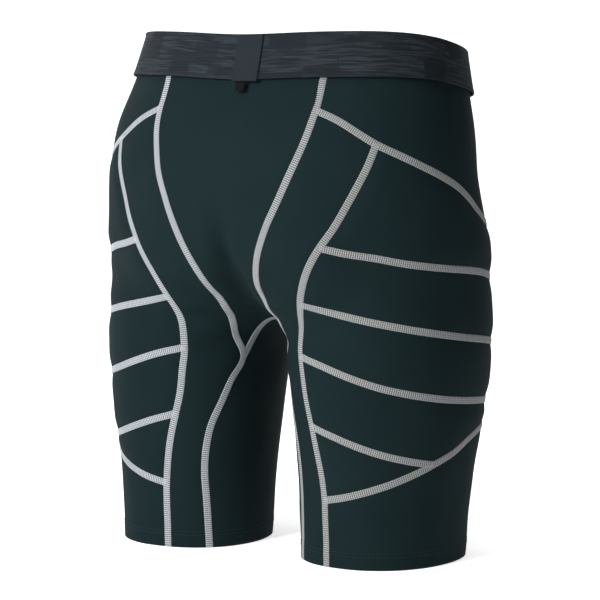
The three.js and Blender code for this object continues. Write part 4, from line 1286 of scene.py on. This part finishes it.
def stitches(points, normals, length, space, radius, lift):
    # a row of small arched threads laid end to end along a closed or open line
    marks = lengthMarks(points)
    count = int(marks[-1] // (length + space))
    starts = np.arange(count) * marks[-1] / count
    steps, sides = 5, 6
    t = np.linspace(0, 1, steps)
    s = starts[:, None] + length * t[None]
    p = pointsAlong((points, marks), s.ravel()).reshape(count, steps, 3)
    n = unit(pointsAlong((normals, marks), s.ravel()).reshape(count, steps, 3))
    along = unit(np.gradient(p, axis=1))
    side = np.cross(n, along)
    arch = (lift * np.sin(math.pi * t))[None, :, None]
    ring = np.linspace(0, 2 * math.pi, sides + 1)[:-1]
    fat = (radius * np.sqrt(np.sin(math.pi * np.clip(t, 0.06, 0.94))))[None, :, None, None]
    section = np.cos(ring)[:, None] * side[:, :, None] + np.sin(ring)[:, None] * n[:, :, None]
    tubes = (p + n * arch)[:, :, None] + fat * section
    quads = tube(tubes[0])[None] + (np.arange(count) * steps * sides)[:, None, None]
    return tubes.reshape(-1, 3), quads.reshape(-1, 4)


hemRows = []
for drop in (0.0, hem["rowGap"]):
    level = atHeight(hem["stitchHeight"] - drop)
    ring = onLevel(legAxis, np.linspace(0, 2 * math.pi, 361), level)
    ringOut = levelOutward(ring)
    lifted = ring + ringOut * (shorts["fabric"] + ripple(ring) - hem["sunk"])[:, None]
    hemRows.append(stitches(lifted, ringOut, hem["stitch"], hem["space"], hem["thread"], hem["arch"]))

points, quads = gather(hemRows)
bothSides("HemStitching", None, "fabric", points, quads, material="hemThread")
print("waistband, tab and hems made")

stage = {"back": 3.2, "radius": 1.2, "width": 9.0, "rise": 4.0, "front": -4.0, "drop": 0.0006}
azimuth = math.radians(32.3)
towardCamera = np.array([-math.sin(azimuth), math.cos(azimuth)])
cameraRight = np.array([-math.cos(azimuth), -math.sin(azimuth)])


def paperSweep():
    # floor that runs back and curves up behind the object
    turn = np.linspace(0, math.pi / 2, 16)
    bend = stage["back"] + stage["radius"] * np.sin(turn)
    depth = np.concatenate([[stage["front"]], bend, [stage["back"] + stage["radius"]]])
    rise = np.concatenate([[0], stage["radius"] * (1 - np.cos(turn)), [stage["rise"]]])
    side = np.linspace(-1, 1, 9) * stage["width"] / 2
    xy = -towardCamera[None, None] * depth[:, None, None] + cameraRight[None, None] * side[None, :, None]
    grid = np.concatenate([xy, np.broadcast_to(rise[:, None, None], (*xy.shape[:2], 1))], 2)
    quads = gridQuads(numbered(*grid.shape[:2]))
    mesh = bpy.data.meshes.new("studioSweep")
    mesh.from_pydata((grid.reshape(-1, 3) - [0, 0, stage["drop"]]).tolist(), [], quads.tolist())
    mesh.polygons.foreach_set("use_smooth", np.ones(len(mesh.polygons), bool))
    mesh.materials.append(materials["floor"])
    sweep = bpy.data.objects.new("studioSweep", mesh)
    bpy.context.scene.collection.objects.link(sweep)


paperSweep()

middle = np.array([0, frameShift, 0.235])
lights = {
    "key": {"right": -1.7, "toward": 1.5, "up": 1.1, "size": 1.0, "power": 92},
    "fill": {"right": 1.9, "toward": 0.9, "up": 0.5, "size": 1.6, "power": 1.5},
    "top": {"right": -0.2, "toward": 0.3, "up": 2.2, "size": 1.6, "power": 20},
    "rim": {"right": -1.5, "toward": -1.3, "up": 0.8, "size": 1.2, "power": 10},
}


def aimed(obj, spot, target):
    obj.location = spot
    obj.rotation_euler = (Vector(target) - Vector(spot)).to_track_quat("-Z", "Y").to_euler()
    bpy.context.scene.collection.objects.link(obj)


for name, lamp in lights.items():
    data = bpy.data.lights.new(name, "AREA")
    data.size = lamp["size"]
    data.energy = lamp["power"]
    level = middle[:2] + cameraRight * lamp["right"] + towardCamera * lamp["toward"]
    aimed(bpy.data.objects.new(name, data), (*level, middle[2] + lamp["up"]), middle)

worldStrength = 0.1
world = bpy.data.worlds.new("studioAir")
world.use_nodes = True
world.node_tree.nodes["Background"].inputs["Color"].default_value = (1, 1, 1, 1)
world.node_tree.nodes["Background"].inputs["Strength"].default_value = worldStrength
bpy.context.scene.world = world
bpy.context.scene.view_settings.view_transform = "Standard"

view = {"distance": 2.4, "height": 0.470, "lens": 155.4, "shift": (-0.0053, -0.0167)}
camera = bpy.data.cameras.new("studioCamera")
camera.lens = view["lens"]
camera.sensor_width = 36
camera.shift_x, camera.shift_y = view["shift"]
camera.clip_end = 40
cameraObject = bpy.data.objects.new("studioCamera", camera)
aimed(cameraObject, (*(middle[:2] + towardCamera * view["distance"]), view["height"]), middle)
bpy.context.scene.camera = cameraObject

for name, size in flatSizes.items():
    print("flat", name, size[0], "x", size[1], "mm, area", size[2], "cm2")
